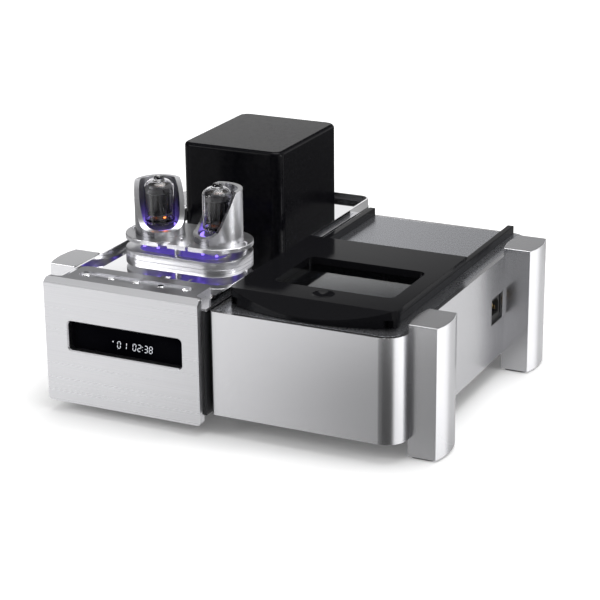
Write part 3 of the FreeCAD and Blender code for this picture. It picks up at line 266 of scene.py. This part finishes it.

# %% [markdown]
# ## Coats that shine
# Three blacks tell the big dark pieces apart. The left body's powder coat is coarse and dull. The
# transformer cover's enamel is glossy over a faint orange peel, and its flat right side, which mirrors the
# dark lid beside it, gets a copy of the enamel with less shine, which is painted shade. The lid's anodising
# is smooth. One black for all would melt them into one shape.

# %% Coats, enamel and anodising
BLACK_ENAMEL = ((0.002, 0.002, 0.003), (0.004, 0.004, 0.005))
coat = textured("powder_coat", ((0.016, 0.016, 0.018), (0.026, 0.026, 0.029)), 900.0, (0.42, 0.55),
                depth=(0.25, 0.00015))
enamel = textured("cover_enamel", BLACK_ENAMEL, 260.0, (0.16, 0.22), depth=(0.06, 0.0001), detail=1.0,
                  Specular_IOR_Level=0.07)
cover_side_painted_shade = textured("cover_enamel_painted_shade", BLACK_ENAMEL, 260.0, (0.20, 0.26), detail=1.0,
                  Specular_IOR_Level=0.01)
anodised = textured("black_anodising", ((0.004, 0.004, 0.005), (0.008, 0.008, 0.009)), 1600.0, (0.08, 0.11),
                    Specular_IOR_Level=0.05)
print("blacks:", [m.name for m in (coat, enamel, cover_side_painted_shade, anodised)])

# %% [markdown]
# ## Blacks that don't shine
# The inlet, the disc well and the clamp are moulded plastic, with the faint texture of their mould. The
# pads under the pillars are rubber, which is rougher still and hardly mirrors anything.

# %% Plastic and rubber
plastic = textured("moulded_plastic", ((0.018, 0.018, 0.018), (0.028, 0.028, 0.028)), 1100.0, (0.45, 0.60),
                   depth=(0.15, 0.00006))
rubber = textured("rubber", ((0.014, 0.014, 0.014), (0.028, 0.028, 0.027)), 300.0, (0.70, 0.85), detail=3.0)
print("matt:", plastic.name, rubber.name)

# %% [markdown]
# ## Windows and bulbs
# The display's window is smoked until only what glows behind it is seen, so it is written as a near black
# without a sheen. The lid's window is tinted glass that mirrors strongly at a flat angle. The bulbs are
# clear. Glass gets its look from transmission, so its colour stays light where it should look clear.

# %% Glasses
smoked = textured("smoked_window", ((0.001, 0.001, 0.002), (0.003, 0.003, 0.004)), 20.0, (0.03, 0.06),
                  detail=1.0, Specular_IOR_Level=0.0)
window_glass = textured("lid_window", ((0.26, 0.29, 0.34), (0.30, 0.33, 0.38)), 15.0, (0.02, 0.04),
                        detail=1.0, IOR=2.4, Transmission_Weight=1.0)
clear = textured("bulb_glass", ((0.98, 0.98, 1.0),), (40.0, 40.0, 6.0), (0.0, 0.02), detail=1.0,
                 Transmission_Weight=1.0, IOR=1.46)
print("glasses:", smoked.name, window_glass.name, clear.name)

# %% [markdown]
# ## What the bodies hold
# Sockets are glazed ceramic, the plates in the tubes are nickel blackened with carbon, the transformers are
# wound in yellow tape, and the capacitors wear shrunk sleeves. Little of this is seen, but each piece still
# gets its own finish, because the lid opens and the guards are open in front.

# %% Ceramic, carbon, boards, tape and sleeves
ceramic = textured("glazed_ceramic", ((0.74, 0.72, 0.67), (0.82, 0.80, 0.76)), 200.0, (0.25, 0.35),
                   Coat_Weight=0.6)
carbon = textured("carbonised_nickel", ((0.035, 0.035, 0.04), (0.09, 0.09, 0.095)), (500.0, 500.0, 900.0),
                  (0.45, 0.60), detail=3.0, Metallic=0.3)
board = textured("circuit_board", ((0.015, 0.07, 0.03), (0.03, 0.12, 0.055)), 400.0, (0.35, 0.50), detail=3.0)
wrap = textured("winding_tape", ((0.60, 0.42, 0.10), (0.80, 0.62, 0.20)), (90.0, 90.0, 400.0), (0.30, 0.45),
                detail=3.0)
sleeve = textured("capacitor_sleeve", ((0.010, 0.014, 0.05), (0.016, 0.024, 0.08)), (150.0, 150.0, 60.0),
                  (0.20, 0.32), Coat_Weight=0.4)
getter = textured("getter_metal", ((0.03, 0.02, 0.018), (0.09, 0.065, 0.05)), 120.0, (0.12, 0.30), detail=3.0,
                  Metallic=0.9)
print("finishes so far:", len(bpy.data.materials))

# %% [markdown]
# ## What glows
# The digits, the small violet lamps and the heaters in the tubes give off light themselves. The violet light
# the lamps throw on their board is painted light: the board itself is made to glow. Emission on the same
# shader does that, with a base colour of half the glow's colour for when the light around is brighter.

# %% Glowing finishes
def glow(name, colour, strength):
    """A finish that gives off light."""
    finish = new_finish(name, tuple(0.5 * c for c in colour), Emission_Strength=strength, Roughness=0.4)
    finish.node_tree.nodes["Principled BSDF"].inputs["Emission Color"].default_value = (*colour, 1.0)
    return finish


digit_glow = glow("digit_glow", (0.90, 0.93, 1.0), 0.55)
violet_glow = glow("violet_glow", (0.30, 0.20, 1.0), 1.6)
# Painted light: the lamps' violet light on their board, made as the board's own glow.
board_painted_violet_light = glow("board_painted_violet_light", (0.12, 0.08, 0.50), 0.50)
heater_glow = glow("heater_glow", (1.0, 0.24, 0.05), 3.5)
print("finishes:", len(bpy.data.materials))

# %% [markdown]
# ## Putting a piece on its body
# Every piece moves with one body of the player: the lid's glass with the lid, a key's cap with its key. A
# helper turns a finished bmesh into an object, lets it ride on its body and names the material slot it
# belongs to.

# %% From a bmesh to a piece
body_of = {node: body for body, nodes in frame["record"]["behaviour"]["bodies"].items() for node in nodes}


def show(bm, name, finish, body="housing"):
    """Turn a finished bmesh into a piece that rides on a body."""
    mesh = bpy.data.meshes.new(name)
    bm.to_mesh(mesh)
    bm.free()
    mesh.materials.append(finish)
    piece = bpy.data.objects.new(name, mesh)
    bpy.context.scene.collection.objects.link(piece)
    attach(piece, body)
    return piece


def shade(bm, crease):
    """Smooth faces, with every edge that turns by more than crease degrees kept sharp."""
    for face in bm.faces:
        face.smooth = True
    for line in bm.edges:
        line.smooth = line.calc_face_angle(0.0) < math.radians(crease)


print("bodies:", sorted(set(body_of.values())))

# %% [markdown]
# ## Polishing the solids
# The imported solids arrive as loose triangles, which is right for measuring and wrong for light: every facet
# would show. So each piece that is seen gets a copy: its doubled points are merged, flat triangles are
# joined, and its sharp edges get a tiny bevel, because no machined edge is a perfect knife. Weighted
# normals then keep the flats flat. The copy stands for the node, and its place stays in its mesh.

# %% A merged copy with softened edges
WELD_M = 2e-6
FLAT_DEGREES = 0.5
RIM_DEGREES = 28.0
CREASE_DEGREES = 40.0


def dress(node, finish, edge):
    """A merged copy of a node with its edges softened by edge millimetres, shown in the node's place."""
    bm = bmesh.new()
    bm.from_mesh(frame["nodes"][node].data)
    bmesh.ops.remove_doubles(bm, verts=bm.verts, dist=WELD_M)
    bmesh.ops.dissolve_limit(bm, angle_limit=math.radians(FLAT_DEGREES), verts=bm.verts, edges=bm.edges)
    if edge:
        rims = [e for e in bm.edges if e.is_manifold and e.calc_face_angle(0.0) > math.radians(RIM_DEGREES)]
        bmesh.ops.bevel(bm, geom=rims, offset=edge * MM, offset_type="OFFSET", segments=2, profile=0.5,
                        affect="EDGES", clamp_overlap=True, material=-1)
    shade(bm, CREASE_DEGREES)
    piece = show(bm, node + "_finish", finish, body_of[node])
    weighted = piece.modifiers.new("flat_faces_stay_flat", "WEIGHTED_NORMAL")
    weighted.keep_sharp = True
    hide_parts(node)
    return piece


print("edges over", RIM_DEGREES, "degrees are softened")

# %% [markdown]
# ## Who wears what
# One table says which finish and how soft an edge each seen piece gets. The cover, the bulbs and the parts
# in them keep their edges as they are, because those are round already and a bevel would only eat into
# their curves.

# %% Dress the pieces that are seen
keys = ["transport_key_%d" % (i + 1) for i in range(5)]
pillars = ["pillar_" + place for place in ("front_left", "rear_left", "front_right", "rear_right")]
SEEN = [
    (brushed, 0.5, ["fascia_and_key_block"]),
    (satin, 0.4, ["wrap_band"] + pillars),
    (polished, 0.25, ["tube_plate", "tube_guard_left", "tube_guard_right"]),
    (polished, 0.15, ["deck_posts"]),
    (mirror, 0.25, ["mirror_tub"] + keys),
    (steel, 0.1, ["plate_screws"]),
    (coat, 0.3, ["left_body_shell", "left_body_floor", "transport_floor", "rear_panel"]),
    (enamel, 0.0, ["transformer_cover"]),
    (anodised, 0.3, ["lid", "rail_left", "rail_right"]),
    (sheet, 0.2, ["top_plate"]),
    (smoked, 0.1, ["display_window"]),
    (window_glass, 0.1, ["lid_glass"]),
    (clear, 0.0, ["tube_bulb_left", "tube_bulb_right"]),
    (ceramic, 0.2, ["tube_socket_left", "tube_socket_right"]),
    (carbon, 0.0, ["tube_core_left", "tube_core_right"]),
    (plastic, 0.2, ["power_inlet", "optical_socket", "disc_well", "disc_clamp", "turntable"]),
    (gold, 0.1, ["inlet_pins", "output_jacks"]),
    (rubber, 0.2, ["foot_pads"]),
]
dressed = {}
for finish, edge, nodes in SEEN:
    for node in nodes:
        dressed[node] = dress(node, finish, edge)
print("dressed:", len(dressed))

# %% [markdown]
# ## Pieces with two finishes
# Some pieces are finished twice: the tub is mirrored on its floor and blasted on most of its walls, the
# front plate's block has a rougher top whose darker colour is painted shade, and the guards and the cover have
# one side painted darker as shade. Picking those faces by the way they point keeps each piece whole.

# %% Give some faces a second finish
def second_finish(node, finish, chosen):
    """The faces whose direction is chosen get a second finish."""
    mesh = dressed[node].data
    mesh.materials.append(finish)
    for face in mesh.polygons:
        face.material_index = int(chosen(face.normal))


second_finish("mirror_tub", satin, lambda n: n.z < 0.9 and n.x < 0.9)
# The upward faces of the front plate get the darker copy: painted shade.
second_finish("fascia_and_key_block", block_top_painted_shade, lambda n: n.z > 0.9)
# The guards' faces turned away from the light get the darker copy: painted shade.
second_finish("tube_guard_left", guard_side_painted_shade, lambda n: n.x < 0.3 and n.z < 0.6)
second_finish("tube_guard_right", guard_side_painted_shade, lambda n: n.x < 0.1 and n.z < 0.6)
# The cover's flat right side gets the copy with less shine: painted shade.
second_finish("transformer_cover", cover_side_painted_shade, lambda n: n.x > 0.97)
print("with two finishes:", [node for node, piece in dressed.items() if len(piece.data.materials) == 2])

# %% [markdown]
# ## An outline with round corners
# The lower deck plate has rounder corners than its solid. Its outline could be a curve object turned into a
# mesh. A rectangle whose four corners are bevelled is quicker, and it always has the same number of points,
# which the next step needs.

# %% Outlines with round corners
DECK = (17.0, 149.0, 98.0, 174.0)
DECK_CORNER = 30.0
ROUND_STEPS = 14
DECK_BOTTOM, DECK_SEAM, DECK_TOP = 130.2, 134.2, 138.2
SEAM_GAP, SEAM_DEPTH = 0.2, 0.5
TRAY = (34.5, 131.5, 106.2, 166.4)
TRAY_CORNER = 18.0
TRAY_DEPTH = 2.0
BRIDGE_RISE = 1.0


def outline(bm, sides, corner, z):
    """The edges of a rectangle with round corners, in drawing millimetres."""
    before = set(bm.edges)
    x0, x1, y0, y1 = sides
    made = bmesh.ops.create_grid(bm, x_segments=1, y_segments=1, size=0.5)["verts"]
    bmesh.ops.scale(bm, verts=made, vec=((x1 - x0) * MM, (y1 - y0) * MM, 1.0))
    bmesh.ops.translate(bm, verts=made, vec=drawing((x0 + x1) / 2, (y0 + y1) / 2, z))
    bmesh.ops.bevel(bm, geom=made, offset=corner * MM, offset_type="OFFSET", segments=ROUND_STEPS,
                    profile=0.5, affect="VERTICES", clamp_overlap=False, material=-1)
    edges = [e for e in bm.edges if e not in before]
    bmesh.ops.delete(bm, geom=list({face for e in edges for face in e.link_faces}), context="FACES_ONLY")
    return edges


def rim(bm, gap, z):
    """The deck's outline, drawn in by a gap."""
    x0, x1, y0, y1 = DECK
    return outline(bm, (x0 + gap, x1 - gap, y0 + gap, y1 - gap), DECK_CORNER - gap, z)


print("deck:", DECK[1] - DECK[0], "by", DECK[3] - DECK[2], "mm")

# %% [markdown]
# ## The lower deck plate
# The deck plate is really two plates screwed together. Outlines at rising heights, bridged one to the next,
# make its wall with the fine seam. The tray that holds the lamps has another outline. It is bridged to the rim
# from a little above and then lowered, because two loops in one plane don't tell the bridge which way they
# face, and its wall is extruded downwards.

# %% Two plates with a seam and a tray
bm = bmesh.new()
loops = [rim(bm, gap, z) for gap, z in (
    (0.4, DECK_BOTTOM), (0.0, DECK_BOTTOM + 0.4), (0.0, DECK_SEAM - SEAM_GAP - 0.1),
    (SEAM_DEPTH, DECK_SEAM - SEAM_GAP), (SEAM_DEPTH, DECK_SEAM + SEAM_GAP),
    (0.0, DECK_SEAM + SEAM_GAP + 0.1), (0.0, DECK_TOP - 0.7), (0.2, DECK_TOP - 0.2), (0.7, DECK_TOP))]
loops.append(outline(bm, TRAY, TRAY_CORNER, DECK_TOP + BRIDGE_RISE))
for low, high in zip(loops, loops[1:]):
    bmesh.ops.bridge_loops(bm, edges=low + high)
mouth = list({point for line in loops[-1] for point in line.verts})
bmesh.ops.translate(bm, verts=mouth, vec=(0.0, 0.0, -BRIDGE_RISE * MM))
sunk = bmesh.ops.extrude_edge_only(bm, edges=loops[-1])["geom"]
sunk = [part for part in sunk if isinstance(part, bmesh.types.BMVert)]
bmesh.ops.translate(bm, verts=sunk, vec=(0.0, 0.0, -TRAY_DEPTH * MM))
bmesh.ops.recalc_face_normals(bm, faces=bm.faces)
shade(bm, 32.0)
deck = show(bm, "deck_plates", polished)
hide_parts("tube_deck_base")
print("deck faces:", len(deck.data.polygons))

# %% [markdown]
# ## Pieces inside the bodies
# What the bodies hide keeps its imported mesh, because hardly any light reaches it, and simply gets the right
# finish. The light board is the exception: it is seen between the deck plates, and it glows violet as painted
# light standing for the lamps' light on it.

# %% Finish the hidden solids
HIDDEN = {
    board: ["display_module", "key_board", "decoder_board", "power_board"],
    # The light board glows as painted light from its lamps.
    board_painted_violet_light: ["light_board"],
    wrap: ["transformer_lower", "transformer_upper"],
    steel: ["transformer_bolt", "pickup_rods", "spindle_motor", "sled_screw", "body_bolts"],
    plastic: ["transport_frame", "pickup_sled"],
    rubber: ["frame_dampers"],
    sleeve: ["power_capacitors"],
}
for finish, nodes in HIDDEN.items():
    for node in nodes:
        shape = frame["nodes"][node].data
        shape.materials.clear()
        shape.materials.append(finish)
print("hidden:", sum(len(nodes) for nodes in HIDDEN.values()))

# %% [markdown]
# ## Digits made of bars
# The display shows its figures in glowing segments. A text object would give a printed typeface. Each digit
# here has up to seven bars with pointed ends: a circle of six corners, stretched to a bar, makes one, and
# the bars that a figure needs are set out round its two squares, leaning a little as such digits do.

# %% One bar, one digit
BARS = {"0": "abcdef", "1": "bc", "2": "abged", "3": "abgcd", "8": "abcdefg"}
DIGIT_W, DIGIT_H = 3.3, 6.9
BAR_WIDTH, BAR_SHARE = 0.8, 0.92
LEAN, LEAN_FROM_Z = 0.10, 72.0
WINDOW_Y = -4.56


def bar(bm, x, z, length, width, upright=False):
    """One pointed bar of a digit, flat against the window."""
    made = bmesh.ops.create_circle(bm, cap_ends=True, segments=6, radius=1.0)
    size = Matrix.Diagonal((length / 2, width / 2, 1.0, 1.0))
    stand_up = Matrix.Rotation(math.radians(90), 4, "X")
    turn = stand_up @ Matrix.Rotation(math.radians(90 if upright else 0), 4, "Z")
    for point in made["verts"]:
        spot = turn @ size @ Vector((*point.co[:2], 0.0))
        point.co = drawing(x + spot.x + LEAN * (z + spot.z - LEAN_FROM_Z), WINDOW_Y, z + spot.z)


def digit(bm, figure, x, z):
    """A figure whose lower left corner is at x, z."""
    half, mid = DIGIT_H / 2, DIGIT_W / 2
    spots = {"a": (mid, DIGIT_H, False), "g": (mid, half, False), "d": (mid, 0, False),
             "f": (0, 1.5 * half, True), "b": (DIGIT_W, 1.5 * half, True),
             "e": (0, 0.5 * half, True), "c": (DIGIT_W, 0.5 * half, True)}
    for name in BARS[figure]:
        dx, dz, upright = spots[name]
        bar(bm, x + dx, z + dz, (half if upright else DIGIT_W) * BAR_SHARE, BAR_WIDTH, upright)


print("bars of an eight:", len(BARS["8"]))

# %% [markdown]
# ## Track and time
# The display reads track one, two minutes and thirty-eight seconds, with a dot in front. All the bars go
# into one mesh, since they light up as one piece of glass.

# %% Light the digits
FIGURES = (("0", 77.6), ("1", 84.4), ("0", 95.0), ("2", 100.6), ("3", 108.0), ("8", 113.4))
FOOT_Z = 75.2
COLON_X, COLON_ZS, COLON_SIZE = 105.8, (77.2, 80.3), 0.9
DOT_X, DOT_Z, DOT_SIZE = 72.3, 81.2, 1.5

bm = bmesh.new()
for figure, x in FIGURES:
    digit(bm, figure, x, FOOT_Z)
for z in COLON_ZS:
    bar(bm, COLON_X, z, COLON_SIZE, COLON_SIZE)
bar(bm, DOT_X, DOT_Z, DOT_SIZE, DOT_SIZE)
bmesh.ops.recalc_face_normals(bm, faces=bm.faces)
digits = show(bm, "display_digits", digit_glow)
print("bars:", len(digits.data.polygons))

# %% [markdown]
# ## Light under the tubes
# Between the two deck plates sits a board with small violet lamps, whose light spills over the mirror and
# up through the sockets. Each lamp is a little dome: a circle spun up from a profile would do, and a
# squashed sphere is quicker and looks the same at this size. The lamps stand in a ring under each tube,
# except where the board ends.

# %% Lamps on the light board
TUBE_X, TUBE_Y = (49.0, 116.9), 136.5
LAMP_RING_R, LAMP_R, LAMP_RISE = 21.0, 1.7, 1.6
BOARD_TOP = 139.6
LAMP_XS = (37.5, 128.5)


def dome(bm, x, y, z, radius, rise):
    """A half-sunk dome."""
    made = bmesh.ops.create_uvsphere(bm, u_segments=12, v_segments=8, radius=MM)["verts"]
    bmesh.ops.scale(bm, verts=made, vec=(radius, radius, rise))
    bmesh.ops.translate(bm, verts=made, vec=drawing(x, y, z))


bm = bmesh.new()
for tube_x in TUBE_X:
    for i in range(8):
        angle = math.radians(22.5 + 45.0 * i)
        x, y = tube_x + LAMP_RING_R * math.cos(angle), TUBE_Y + LAMP_RING_R * math.sin(angle)
        if LAMP_XS[0] < x < LAMP_XS[1]:
            dome(bm, x, y, BOARD_TOP, LAMP_R, LAMP_RISE)
lamps = show(bm, "deck_lamps", violet_glow)
print("lamp faces:", len(lamps.data.polygons))

# %% [markdown]
# ## Round parts in and round the tubes
# A flat violet ring at the bottom of each guard glows as painted light, standing for the lamps' light that
# spills up into it. A dark, silvery patch of getter metal lines the crown of each bulb. Both are round, so a
# short profile, spun once round the tube's axis, makes them. A full spin meets its own start, so it merges
# there.

# %% Spin the rings and the crowns
SPIN_STEPS = 48
RING = ((15.2, 155.6), (15.2, 156.5), (18.6, 156.5))
CROWN = ((1.0, 204.3), (5.0, 204.2), (9.0, 203.2), (11.2, 202.0))


def spun(name, profile, tube_x, finish, smooth):
    """A profile of radii and heights, spun round a tube's axis."""
    bm = bmesh.new()
    points = [bm.verts.new(Vector((r, 0.0, z)) * MM) for r, z in profile]
    for a, b in zip(points, points[1:]):
        bm.edges.new((a, b))
    bmesh.ops.spin(bm, geom=bm.verts[:] + bm.edges[:], cent=(0, 0, 0), axis=(0, 0, 1), angle=2 * math.pi,
                   steps=SPIN_STEPS, use_merge=True)
    bmesh.ops.recalc_face_normals(bm, faces=bm.faces)
    bmesh.ops.translate(bm, verts=bm.verts, vec=drawing(tube_x, TUBE_Y, 0.0))
    for face in bm.faces:
        face.smooth = smooth
    return show(bm, name, finish)


for side, tube_x in zip(("left", "right"), TUBE_X):
    # The ring's glow is painted light from the lamps below.
    spun("painted_light_ring_" + side, RING, tube_x, violet_glow, False)
    spun("getter_" + side, CROWN, tube_x, getter, True)
print("ring from", RING[0][0], "to", RING[-1][0], "mm, crown to", CROWN[-1][0], "mm")

# %% [markdown]
# ## Heaters
# A working double triode shows two orange heaters peeping out under its dark plates. Each is a short rod,
# made as a cone whose two ends are equally wide.

# %% Light the heaters
HEATER_DX, HEATER_R = 5.6, 1.35
HEATER_Z0, HEATER_Z1 = 166.3, 170.9

for side, tube_x in zip(("left", "right"), TUBE_X):
    bm = bmesh.new()
    for dx in (-HEATER_DX, HEATER_DX):
        made = bmesh.ops.create_cone(bm, cap_ends=True, segments=16, radius1=HEATER_R * MM,
                                     radius2=HEATER_R * MM, depth=(HEATER_Z1 - HEATER_Z0) * MM)["verts"]
        bmesh.ops.translate(bm, verts=made, vec=drawing(tube_x + dx, TUBE_Y, (HEATER_Z0 + HEATER_Z1) / 2))
    heaters = show(bm, "heater_" + side, heater_glow)
print("faces of one pair of heaters:", len(heaters.data.polygons))

# %% [markdown]
# ## Which rays see what
# The camera, and any mirror or glass, should see a white studio, while its light on the player stays plain.
# The Light Path node tells these rays apart from the rays that carry light.

# %% Tell seen rays apart
def seen_rays(tree):
    """One where a ray comes from the camera, a mirror or through glass."""
    path = tree.nodes.new("ShaderNodeLightPath")
    first = reckon(tree, "MAXIMUM", path.outputs["Is Camera Ray"], path.outputs["Is Glossy Ray"])
    return reckon(tree, "MAXIMUM", first, path.outputs["Is Transmission Ray"])


def mirrored_rays(tree):
    """One where a ray comes from a mirror, however rough."""
    return tree.nodes.new("ShaderNodeLightPath").outputs["Is Glossy Ray"]


print("rays are told apart by Light Path")

# %% [markdown]
# ## How light the paper is
# The player stands on a plain pale sheet of paper. Metals need something darker to mirror, or they look
# flat, as every photographer of silverware knows, who lays black flags just out of the picture. Flags of
# real geometry would show in other views. So the paper has one tone when seen directly, and in mirrors a
# darker one, with two soft dark patches where the flags would lie.

# %% The paper's tone
PAPER, PAPER_IN_MIRRORS, PAPER_THIN = 0.93, 0.80, 0.6
FLAGS = (((0.20, -0.36), 0.50, 0.12), ((0.15, 0.70), 0.45, 0.20))
FLAG_EDGE = 0.6
LIFT_NEAR, LIFT_FAR, LIFT_RADIUS = 0.03, 0.60, 3.0

paper = bpy.data.materials.new("studio_paper")
paper.use_nodes = True
tree = paper.node_tree
tree.nodes.clear()
on_floor = tree.nodes.new("ShaderNodeTexCoord").outputs["Object"]


def patch(tree, middle, radius):
    """One in the middle of a round patch of the floor, nought from its rim on."""
    place = tree.nodes.new("ShaderNodeMapping")
    place.inputs["Location"].default_value = (-middle[0] / radius, -middle[1] / radius, 0.0)
    place.inputs["Scale"].default_value = (1.0 / radius, 1.0 / radius, 1.0)
    tree.links.new(on_floor, place.inputs["Vector"])
    ball = tree.nodes.new("ShaderNodeTexGradient")
    ball.gradient_type = "QUADRATIC_SPHERE"
    tree.links.new(place.outputs["Vector"], ball.inputs["Vector"])
    return ball.outputs["Fac"]


tone = PAPER_IN_MIRRORS
for middle, radius, darkest in FLAGS:
    flag = between(tree, patch(tree, middle, radius), 1.0, darkest, end=FLAG_EDGE, soft=True)
    tone = reckon(tree, "MULTIPLY", flag, tone)
tone = between(tree, mirrored_rays(tree), 1.0, tone)
print("flags in the mirrors:", len(FLAGS))

# %% [markdown]
# ## Paper that turns into wall
# Seen directly, the paper is matt and keeps the player's shadow, and far from the player a little glow of
# its own lifts it to the white of the wall, so no horizon shows. In mirrors it is thin: more than half of
# what they see below the horizon is the studio behind it.

# %% Matt paper, lifted far away, thin in mirrors
matt = tree.nodes.new("ShaderNodeBsdfDiffuse")
tree.links.new(reckon(tree, "MULTIPLY", tone, PAPER), matt.inputs["Color"])
lift = tree.nodes.new("ShaderNodeEmission")
raised = reckon(tree, "MULTIPLY", seen_rays(tree),
                between(tree, patch(tree, (0.0, 0.0), LIFT_RADIUS), LIFT_FAR, LIFT_NEAR))
tree.links.new(reckon(tree, "MULTIPLY", raised, tone), lift.inputs["Strength"])
both = tree.nodes.new("ShaderNodeAddShader")
tree.links.new(matt.outputs["BSDF"], both.inputs[0])
tree.links.new(lift.outputs["Emission"], both.inputs[1])
thin = tree.nodes.new("ShaderNodeMixShader")
tree.links.new(reckon(tree, "MULTIPLY", mirrored_rays(tree), PAPER_THIN), thin.inputs["Fac"])
tree.links.new(both.outputs["Shader"], thin.inputs[1])
tree.links.new(tree.nodes.new("ShaderNodeBsdfTransparent").outputs["BSDF"], thin.inputs[2])
tree.links.new(thin.outputs["Shader"], tree.nodes.new("ShaderNodeOutputMaterial").inputs["Surface"])
print("paper nodes:", len(tree.nodes))

# %% [markdown]
# ## Rolling the paper out
# One large grid is enough, since the sheet is flat.

# %% Roll the paper out
FLOOR_REACH_M = 14.0

bm = bmesh.new()
bmesh.ops.create_grid(bm, x_segments=8, y_segments=8, size=FLOOR_REACH_M)
floor_mesh = bpy.data.meshes.new("studio_floor")
bm.to_mesh(floor_mesh)
bm.free()
floor_mesh.materials.append(paper)
floor = bpy.data.objects.new("studio_floor", floor_mesh)
bpy.context.scene.collection.objects.link(floor)
print("the floor reaches", FLOOR_REACH_M, "m each way")

# %% [markdown]
# ## Levels of grey round the studio
# Curved metal is drawn by what stands round it. Walking once round the player, the studio is given as
# levels of grey. Low down, metals see a dark front, a bright patch to the left of it and a long bright one
# on the right; the wall is dark in front and on the left, and pale at the back and on the right. Panels of
# real geometry would do the same, but they would show in other views and shade the floor.

# %% Levels round the studio
# Place from 0 to 1: front, left at 0.25, back at 0.5, right at 0.75, then front again; and level
BELOW = ((0.0, 0.10), (0.052, 0.10), (0.070, 0.33), (0.079, 0.58), (0.084, 0.68), (0.10, 0.80), (0.125, 0.80),
         (0.165, 0.20), (0.20, 0.06), (0.36, 0.06), (0.42, 0.24), (0.52, 0.30), (0.565, 0.22), (0.60, 1.0),
         (0.82, 1.0), (0.86, 0.03), (0.985, 0.03))
LOW_WALL = ((0.0, 0.05), (0.12, 0.05), (0.18, 0.06), (0.37, 0.06), (0.40, 0.64), (0.425, 0.60), (0.435, 0.54),
            (0.442, 0.38), (0.47, 0.28), (0.52, 0.55), (0.66, 0.72), (0.80, 0.72), (0.84, 0.06), (0.95, 0.03))
HIGH_WALL = ((0.0, 0.04), (0.12, 0.05), (0.18, 0.04), (0.37, 0.04), (0.44, 0.02), (0.53, 0.08), (0.62, 0.64),
             (0.80, 0.64), (0.84, 0.04), (0.95, 0.02))
BRIGHTEST = 1.6


def strip_of_wall(tree, round_about, stops):
    """A grey ramp round the studio: stops are pairs of place and level."""
    ramp = tree.nodes.new("ShaderNodeValToRGB")
    tones = ramp.color_ramp.elements
    while len(tones) < len(stops):
        tones.new(0.5)
    for tone, (place, level) in zip(tones, stops):
        tone.position = place
        tone.color = (level, level, level, 1.0)
    tree.links.new(round_about, ramp.inputs["Fac"])
    return ramp.outputs["Color"]


print("stops:", len(BELOW), len(LOW_WALL), len(HIGH_WALL))

# %% [markdown]
# ## Hanging the strips round the world
# The world's direction, turned into an angle, says how far round a ray looks, and its height says which
# strip it sees: the one below the horizon, the low wall or the high one. Over the front hangs a pale
# ceiling. The change from low to high wall is quick, because the lid mirrors just that line.

# %% Hang the walls round the world
WALL_SPLIT = (0.316, 0.336)
CEILING_FROM, CEILING_LEVEL, CEILING_FRONT = (0.55, 0.85), 0.46, (0.30, -0.10)
HORIZON = (-0.02, 0.02)

world = bpy.data.worlds.new("studio_world")
bpy.context.scene.world = world
world.use_nodes = True
tree = world.node_tree
way = tree.nodes.new("ShaderNodeSeparateXYZ")
tree.links.new(tree.nodes.new("ShaderNodeTexCoord").outputs["Generated"], way.inputs["Vector"])
x, y, z = (way.outputs[name] for name in "XYZ")
round_about = reckon(tree, "MULTIPLY_ADD", reckon(tree, "ARCTAN2", x, y), 1.0 / (2.0 * math.pi), 0.5)
low_wall = strip_of_wall(tree, round_about, LOW_WALL)
high_wall = strip_of_wall(tree, round_about, HIGH_WALL)
below = strip_of_wall(tree, round_about, BELOW)
walls = between(tree, z, low_wall, high_wall, *WALL_SPLIT)
ceiling = reckon(tree, "MULTIPLY", between(tree, z, 0.0, CEILING_LEVEL, *CEILING_FROM),
                 between(tree, y, 0.0, 1.0, *CEILING_FRONT))
above_floor = reckon(tree, "MAXIMUM", walls, ceiling)
mirrored = reckon(tree, "MULTIPLY", between(tree, z, below, above_floor, *HORIZON), BRIGHTEST)
print("world nodes:", len(tree.nodes))

# %% [markdown]
# ## Plain light from the world
# What lights the player is one even level, a little above half, so that a colour renders about as it is
# written. Camera rays and glass see white, and mirrors see the walls.

# %% Set the world's level
LIGHT_LEVEL, WHITE_LEVEL = 0.55, 1.0

plain = between(tree, seen_rays(tree), LIGHT_LEVEL, WHITE_LEVEL)
sky = tree.nodes["Background"]
sky.inputs["Color"].default_value = (1.0, 1.0, 1.0, 1.0)
tree.links.new(between(tree, mirrored_rays(tree), plain, mirrored), sky.inputs["Strength"])
print("light from all round:", LIGHT_LEVEL)

# %% [markdown]
# ## Three soft lamps
# A wide lamp overhead gives the soft shadow under the player, a smaller one from the front left models the
# front, and a narrow strip on the right draws a bright line down the round corners. Each faces its target
# by a track quaternion, which spares working out angles.

# %% Set up the lamps
def soft_lamp(name, place, target, size, power):
    """A rectangular soft lamp that faces a point."""
    light = bpy.data.lights.new(name, "AREA")
    light.shape = "RECTANGLE"
    light.size, light.size_y = size
    light.energy = power
    lamp = bpy.data.objects.new(name, light)
    lamp.location = place
    lamp.rotation_mode = "QUATERNION"
    lamp.rotation_quaternion = (Vector(target) - Vector(place)).to_track_quat("-Z", "Y")
    bpy.context.scene.collection.objects.link(lamp)
    return lamp


soft_lamp("overhead", (0.1, 0.2, 1.9), (0.0, 0.0, 0.1), (1.6, 1.2), 26.0)
soft_lamp("front_left", (-1.6, -1.7, 1.3), (0.0, 0.0, 0.1), (1.0, 1.0), 16.0)
soft_lamp("right_strip", (1.6, 0.10, 0.30), (0.0, 0.0, 0.15), (0.16, 0.8), 7.0)
